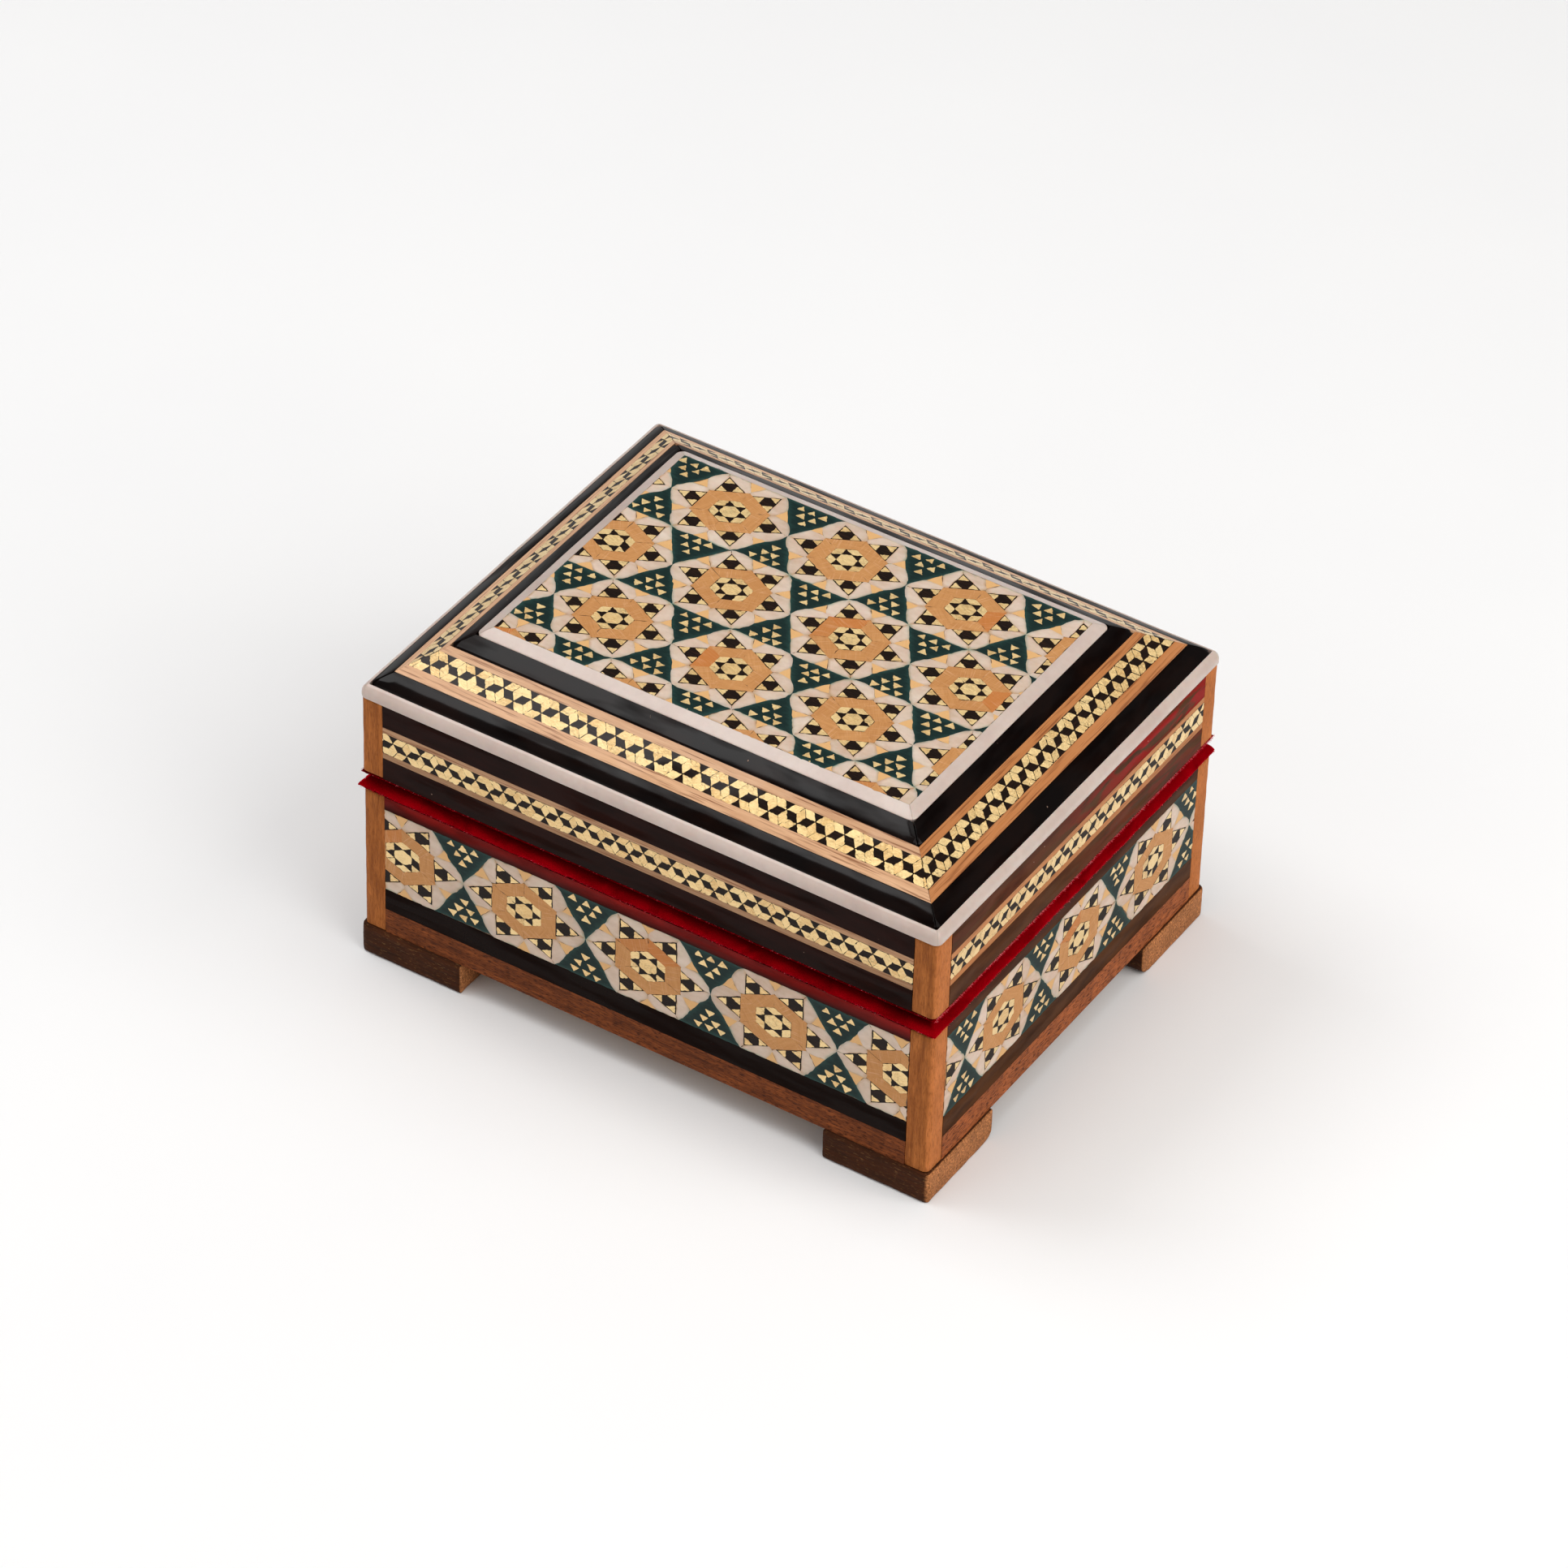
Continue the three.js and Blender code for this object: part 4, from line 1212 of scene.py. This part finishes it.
def worn_foot(node_name, material, texture):
    """A foot with its edges worn round, by remeshing, smoothing and roughening a copy."""
    copy = frame["nodes"][node_name].data.copy()
    copy.materials.clear()
    piece = in_scene("draft", copy)
    remesh = piece.modifiers.new("remesh", "REMESH")
    remesh.mode = "VOXEL"
    remesh.voxel_size = FOOT_VOXEL
    wear = piece.modifiers.new("wear", "SMOOTH")
    wear.factor = 0.5
    wear.iterations = 5
    rough = piece.modifiers.new("rough", "DISPLACE")
    rough.texture = texture
    rough.texture_coords = "LOCAL"
    rough.strength = FOOT_ROUGH
    rough.mid_level = 0.6
    mesh = bpy.data.meshes.new_from_object(piece.evaluated_get(bpy.context.evaluated_depsgraph_get()))
    bpy.data.objects.remove(piece)
    bottom = low(node_name).z
    for vertex in mesh.vertices:
        vertex.co.z = max(vertex.co.z, bottom)
    mesh.materials.append(material)
    add_piece(f"{node_name}_worn", smoothed(mesh), node_name)


def feet(material):
    texture = bpy.data.textures.new("hand_cut", "CLOUDS")
    texture.noise_scale = 2.2 * MM
    for corner, _, _ in CORNERS:
        worn_foot(f"foot_{corner}", material, texture)


def soften(piece, width):
    bevel = piece.modifiers.new("worn_edges", "BEVEL")
    bevel.width = width
    bevel.segments = 2
    bevel.limit_method = "ANGLE"
    bevel.angle_limit = math.radians(25)
    bevel.harden_normals = True
    smoothed(piece.data)


def plain_nodes(looks):
    """Nodes whose shape is right keep it, with worn edges and a material of their own. The looks
    are materials by the start of a node's name."""
    for name, piece in frame["nodes"].items():
        for start, material in looks.items():
            if name.startswith(start):
                piece.data.materials.clear()
                piece.data.materials.append(material)
                soften(piece, HINGE_WEAR if start == "hinge" else EDGE_WEAR)


# ---- Velvet ------------------------------------------------------------------------------------

def rim_corner(number, draw, z):
    """A corner of the base's outline, drawn in by a distance."""
    _, sign_x, sign_y = CORNERS[number]
    x = (BASE_HI.x if sign_x > 0 else BASE_LO.x) - sign_x * draw
    if sign_y > 0:
        return Vector((x, BASE_HI.y - max(draw, BACK_LIMIT), z))
    return Vector((x, BASE_LO.y + draw, z))


def swept_rim(name, profile, material, node_name):
    """A band of velvet round the box. The profile is a closed list of (inset, z, ragged, puff, shade)
    in millimetres: insets are from the base's outer faces, ragged and puff say how far each point may
    stray, and shade is painted shade, how dark the pile is painted where it lies in the seam. The
    right side faces the light, so it gets less painted shade."""
    vertices, painted_shades = [], []
    for side in range(4):
        outward = side_frame(side)[1]
        length = BASE_HI.y - BASE_LO.y if side % 2 else BASE_HI.x - BASE_LO.x
        steps = int(length / RIM_STEP)
        for step in range(steps):
            for index, (draw, z, ragged, puff, depth) in enumerate(profile):
                start = rim_corner(side, draw * MM, z * MM)
                point = start.lerp(rim_corner((side + 1) % 4, draw * MM, z * MM), step / steps)
                fine = noise.noise(point * 2600 + Vector((index * 3.1, 0, 0)))
                broad = noise.noise(point * 260)
                if side != 2:
                    point += outward * ragged * MM * (0.55 * broad + 0.45 * fine)
                swell = noise.noise(Vector((point.x, point.y, 0)) * 330 + Vector((5, 5, index * 0.15)))
                point.z += puff * MM * (swell + 0.35 * noise.noise(point * 1500))
                vertices.append(point)
                # painted shade, at 0.4 on the right side, which faces the light
                painted_shades.append(depth * (0.4 if side == 1 else 1.0))
    faces = skin([*range(0, len(vertices), len(profile)), 0], len(profile))
    mesh = smoothed(new_mesh(name, vertices, faces, [material], depth=painted_shades))
    add_piece(name, mesh, node_name)


def spike(vertices, faces, root, reach, bend, width):
    """One bent three-sided spike, closed at its root: seven faces."""
    across = reach.cross(Vector((0.3, 0.5, 0.8))).normalized() * width
    other = reach.cross(across).normalized() * width
    base = len(vertices)
    for centre, share in ((root, 1.0), (root + reach * 0.55 + bend, 0.7)):
        for k in range(3):
            angle = 2 * math.pi * k / 3
            vertices.append(centre + (across * math.cos(angle) + other * math.sin(angle)) * share)
    vertices.append(root + reach + bend * 0.4)
    faces.append((base, base + 2, base + 1))
    for k in range(3):
        after = (k + 1) % 3
        faces.append((base + k, base + after, base + 3 + after, base + 3 + k))
        faces.append((base + 3 + k, base + 3 + after, base + 6))


def fuzz(name, node_name, materials, proud, zones, seed):
    """Loose fibres at a raw edge that stands proud of the base, each a thin closed spike. A zone is
    (side, z, spread in z, fibres, which material, length), in millimetres."""
    pick = random.Random(seed)
    vertices, faces, kinds = [], [], []
    for side, z, tall, fibres, kind, length in zones:
        outward = side_frame(side)[1]
        for _ in range(fibres):
            if side % 2:
                x = BASE_HI.x + proud if side == 1 else BASE_LO.x - proud
                root = Vector((x, pick.uniform(BASE_LO.y - proud, BASE_HI.y), z * MM))
            else:
                root = Vector((pick.uniform(BASE_LO.x - proud, BASE_HI.x + proud), BASE_LO.y - proud, z * MM))
            root.z += pick.uniform(-tall, tall) * MM
            spray = Vector((pick.gauss(0, 0.7), pick.gauss(0, 0.7), pick.gauss(0, 0.6)))
            reach = (outward + spray).normalized() * length * MM * abs(pick.gauss(0.9, 0.6))
            bend = Vector((pick.gauss(0, 1), pick.gauss(0, 1), pick.gauss(0, 1))) * length * MM * 0.25
            spike(vertices, faces, root, reach, bend, pick.uniform(0.014, 0.03) * MM)
            kinds += [kind] * 7
    add_piece(name, new_mesh(name, vertices, faces, materials, kinds), node_name, replaces=False)


def base_velvet(velvet, raw):
    """The tub's lining: up the walls, over the padded rim and out to its raw lip in the seam."""
    lo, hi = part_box("base_lining")
    rim = BASE_HI.z / MM
    crest = hi.z / MM
    proud = (BASE_LO.x - lo.x) / MM
    wall = RIM_WIDTH / MM
    inner = (RIM_WIDTH + PILE) / MM
    floor = high("bottom_board").z / MM + 0.1
    # The last column is painted shade: the pile painted dark where it lies in the seam under the lid.
    profile = [
        (inner - 0.8, floor + 0.1, 0, 0, 0),
        (wall, rim, 0, 0, 1),
        (2.0, rim + 0.03, 0, 0, 1),
        (0.12, rim + 0.03, 0, 0, 0.9),
        (0.3, rim + 0.50, 0.08, 0.04, 1),
        (-proud + 0.1, rim + 0.54, 0.26, 0.12, 0.8),
        (-proud, rim + 0.64, 0.28, 0.14, 0.3),
        (-proud - 0.05, rim + 0.78, 0.30, 0.12, 0),
        (-proud + 0.12, rim + 0.96, 0.26, 0.12, 0),
        (0.08, rim + 1.20, 0.14, 0.12, 0.2),
        (0.40, rim + 1.60, 0.10, 0.14, 0.55),
        (0.95, rim + 1.95, 0, 0.12, 0.8),
        (1.8, crest - 0.35, 0, 0.08, 0.7),
        (2.8, crest - 0.1, 0, 0.05, 0.3),
        (3.5, crest - 0.05, 0, 0.04, 0),
        (inner - 0.1, crest - 0.5, 0.05, 0.05, 0),
        (inner, crest - 1.5, 0.06, 0, 0),
        (inner + 0.02, (crest + floor) / 2, 0.1, 0, 0),
        (inner, floor + 1.0, 0.06, 0, 0),
        (inner + 0.2, floor + 0.1, 0, 0, 0),
    ]
    swept_rim("velvet_base", profile, velvet, "base_lining")
    zones = []
    for side, fibres in ((0, 1000), (1, 800), (3, 800)):
        zones.append((side, rim + 0.62, 0.10, fibres, 0, 0.13))
        zones.append((side, rim + 0.82, 0.15, fibres, 0, 0.09))
        zones.append((side, rim + 0.60, 0.10, fibres // 5, 1, 0.13))
    fuzz("velvet_base_fuzz", "base_lining", raw, proud * MM, zones, seed=5)


def lid_velvet(velvet, raw):
    """The lid's lining: down the walls and folded flat over the lid's rim."""
    lo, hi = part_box("lid_lining")
    rim = low("lid_post_front_left").z / MM
    fold = lo.z / MM
    proud = (BASE_LO.x - lo.x) / MM
    wall = RIM_WIDTH / MM
    inner = (RIM_WIDTH + PILE) / MM
    ceiling = hi.z / MM - 0.1
    # The last column is painted shade: the fold painted dark where it lies in the seam.
    profile = [
        (inner - 0.8, ceiling, 0, 0, 0),
        (inner + 0.1, ceiling, 0, 0, 0),
        (inner, ceiling - 1.0, 0.06, 0, 0),
        (inner, (ceiling + fold) / 2, 0.1, 0, 0),
        (inner, fold + 0.5, 0.04, 0.02, 0),
        (inner - 0.3, fold + 0.06, 0.04, 0.03, 0),
        (2.0, fold + 0.02, 0, 0.03, 0),
        (-proud + 0.1, fold + 0.03, 0.14, 0.06, 0.6),
        (-proud, fold + 0.15, 0.18, 0.08, 0.7),
        (-proud + 0.1, rim - 0.06, 0.14, 0.04, 0.8),
        (2.0, rim - 0.04, 0, 0, 1),
        (wall, rim, 0, 0, 1),
    ]
    swept_rim("velvet_lid", profile, velvet, "lid_lining")
    zones = (
        (0, rim - 0.1, 0.1, 300, 0, 0.1),
        (3, rim - 0.1, 0.1, 300, 0, 0.1),
        (0, rim - 0.1, 0.1, 120, 1, 0.12),
        (1, rim - 0.25, 0.25, 1800, 0, 0.16),
        (1, rim - 0.1, 0.2, 1500, 1, 0.17),
    )
    fuzz("velvet_lid_fuzz", "lid_lining", raw, proud * MM, zones, seed=6)


def padded_card(half_x, half_y, seed):
    """A velvet-covered card as a mesh, flat below and padded above. It is laid out SIM_SCALE times
    too big, because cloth behaves badly at a few millimetres, and shrunk when it has swollen."""
    columns, rows = 52, 40
    pick = random.Random(seed)
    draft = bmesh.new()
    sheets = []
    for z in (0.0, PAD_THICK):
        sheet = {}
        for i in range(columns + 1):
            for j in range(rows + 1):
                edge = i in (0, columns) or j in (0, rows)
                lift = 0.0 if edge or z == 0.0 else pick.uniform(0, 0.12) * MM
                spot = Vector((half_x * (2 * i / columns - 1), half_y * (2 * j / rows - 1), z + lift))
                sheet[i, j] = draft.verts.new(spot * SIM_SCALE)
        sheets.append(sheet)
    below, above = sheets
    for i in range(columns):
        for j in range(rows):
            draft.faces.new((above[i, j], above[i + 1, j], above[i + 1, j + 1], above[i, j + 1]))
            draft.faces.new((below[i, j], below[i, j + 1], below[i + 1, j + 1], below[i + 1, j]))
    rim = [(i, 0) for i in range(columns)] + [(columns, j) for j in range(rows)]
    rim += [(i, rows) for i in range(columns, 0, -1)] + [(0, j) for j in range(rows, 0, -1)]
    for here, after in zip(rim, rim[1:] + rim[:1]):
        draft.faces.new((below[here], below[after], above[after], above[here]))
    mesh = bpy.data.meshes.new("padded_card")
    draft.to_mesh(mesh)
    draft.free()
    mesh = swollen(mesh)
    mesh.transform(Matrix.Scale(1 / SIM_SCALE, 4))
    return mesh


def swollen(mesh):
    """Cloth simulation: the free upper sheet swells from pressure. What it moves is then scaled, so
    that its top rises by PAD_SWELL at most."""
    flat = [vertex.co.copy() for vertex in mesh.vertices]
    top = max(p.z for p in flat)
    corner = Vector((max(p.x for p in flat), max(p.y for p in flat)))
    piece = in_scene("swelling", mesh)
    glued = piece.vertex_groups.new(name="glued")
    for index, p in enumerate(flat):
        if p.z < top * 0.4 or abs(p.x) > corner.x - 1e-5 or abs(p.y) > corner.y - 1e-5:
            glued.add([index], 1.0, "REPLACE")
    cloth = piece.modifiers.new("cloth", "CLOTH").settings
    cloth.vertex_group_mass = "glued"
    cloth.quality = 6
    cloth.mass = 0.3
    cloth.bending_stiffness = 0.3
    cloth.shrink_min = -0.05
    cloth.use_pressure = True
    cloth.uniform_pressure_force = 4
    cloth.effector_weights.gravity = 0
    for frame_number in range(1, 21):
        bpy.context.scene.frame_set(frame_number)
    result = bpy.data.meshes.new_from_object(piece.evaluated_get(bpy.context.evaluated_depsgraph_get()))
    bpy.context.scene.frame_set(1)
    bpy.data.objects.remove(piece)
    moves = [vertex.co - start for vertex, start in zip(result.vertices, flat)]
    share = min(1.0, PAD_SWELL * SIM_SCALE / max(move.length for move in moves))
    for vertex, start, move in zip(result.vertices, flat, moves):
        vertex.co = start + move * share
    return result


def velvet_pad(name, node_name, z, turn, material, seed):
    """A padded card on the floor of the tub or under the lid."""
    draw = RIM_WIDTH + PILE - 0.05 * MM
    mesh = padded_card(BASE_HI.x - draw, BASE_HI.y - CENTRE_Y - draw, seed)
    mesh.transform(Matrix.Translation((0, CENTRE_Y, z)) @ Matrix.Rotation(turn, 4, "X"))
    mesh.materials.append(material)
    piece = add_piece(name, smoothed(mesh), node_name)
    smooth = piece.modifiers.new("smooth", "SUBSURF")
    smooth.levels = 1
    smooth.render_levels = 1


def velvet_pads(velvet):
    lift = 0.02 * MM
    velvet_pad("velvet_floor", "base_lining", high("bottom_board").z + lift, 0, velvet, seed=61)
    velvet_pad("velvet_ceiling", "lid_lining", high("lid_lining").z - lift, math.pi, velvet, seed=62)


# ---- Stage -------------------------------------------------------------------------------------

def stage():
    corners = [(x * FLOOR_REACH, y * FLOOR_REACH, 0) for _, x, y in CORNERS]
    material, tree, shader = new_material("floor")
    tint = mixed(tree, noisy(tree, 0.02, detail=2), "floor_dark", "floor_light")
    dress(tree, shader, colour=tint, rough=0.85, shine=0.2)
    in_scene("floor", new_mesh("floor", corners, [(0, 1, 2, 3)], [material]))


def area_light(name, azimuth, elevation, distance, size, power, tint):
    """A square lamp that looks at the box."""
    lamp = bpy.data.lights.new(name, "AREA")
    lamp.shape = "SQUARE"
    lamp.size = size
    lamp.energy = power
    lamp.color = tint
    direction = towards(math.radians(azimuth), math.radians(elevation))
    holder = in_scene(name, lamp)
    holder.location = direction * distance + LAMP_TARGET
    holder.rotation_euler = direction.to_track_quat("Z", "Y").to_euler()


def lights():
    world = bpy.data.worlds.new("studio")
    world.use_nodes = True
    bpy.context.scene.world = world
    tree = world.node_tree
    background = tree.nodes["Background"].inputs
    height = along_axis(tree, node(tree, "ShaderNodeTexCoord").outputs["Generated"], "Z")
    feed(tree, background["Strength"], spread(tree, height, 0.0, 1.0, *WORLD_GLOW))
    feed(tree, background["Color"], "studio")
    for lamp in LAMPS:
        area_light(*lamp)
    bpy.context.scene.view_settings.view_transform = "Standard"


def camera():
    backward = towards(math.radians(CAMERA_AZIMUTH), math.radians(CAMERA_ELEVATION))
    roll = Matrix.Rotation(math.radians(CAMERA_ROLL), 3, "Z")
    lens = bpy.data.cameras.new("camera")
    lens.sensor_width = 36
    lens.lens = CAMERA_LENS
    holder = in_scene("camera", lens)
    holder.location = CAMERA_TARGET + backward * CAMERA_DISTANCE
    holder.rotation_euler = (backward.to_track_quat("Z", "Y").to_matrix() @ roll).to_euler()
    bpy.context.scene.camera = holder


# ---- The whole box -----------------------------------------------------------------------------

def build():
    star_panel()
    star_bands()
    lid_bands()
    slope_bands()
    lid_rings(lacquer_material("black_lacquer"), trim_material())
    posts(solid_wood("post_wood", "post_light", "post_dark", 2, pore_depth=0.4, painted_lit="post_bare"))
    feet(solid_wood("foot_wood", "foot_light", "foot_dark", 0, flecks="foot_fleck", painted_lit="foot_bare"))
    plinth_x, plinth_y = (
        solid_wood(f"plinth_wood_{axis}", "plinth_light", "plinth_dark", axis, pore_depth=0.85,
                   painted_lit="plinth_bare", coat=0.05)
        for axis in (0, 1)
    )
    board = solid_wood("board_wood", "board_light", "board_dark", 0)
    plain_nodes({
        "base_wall": board,
        "lid_wall": board,
        "bottom_board": board,
        "lid_board": solid_wood("glued_board", "plinth_dark", "foot_dark", 0),
        "plinth_front": plinth_x,
        "plinth_back": plinth_x,
        "plinth_left": plinth_y,
        "plinth_right": plinth_y,
        "hinge": hinge_material(),
        **facing_materials(),
    })
    velvet = velvet_material("velvet", "velvet", "velvet_deep", "velvet_bright")
    raw = (velvet_material("raw_edge", "raw_red", "velvet", "raw_red"),
           velvet_material("raw_backing", "raw_pink", "raw_red", "raw_pink"))
    base_velvet(velvet, raw)
    lid_velvet(velvet, raw)
    velvet_pads(velvet)


build()
stage()
lights()
camera()
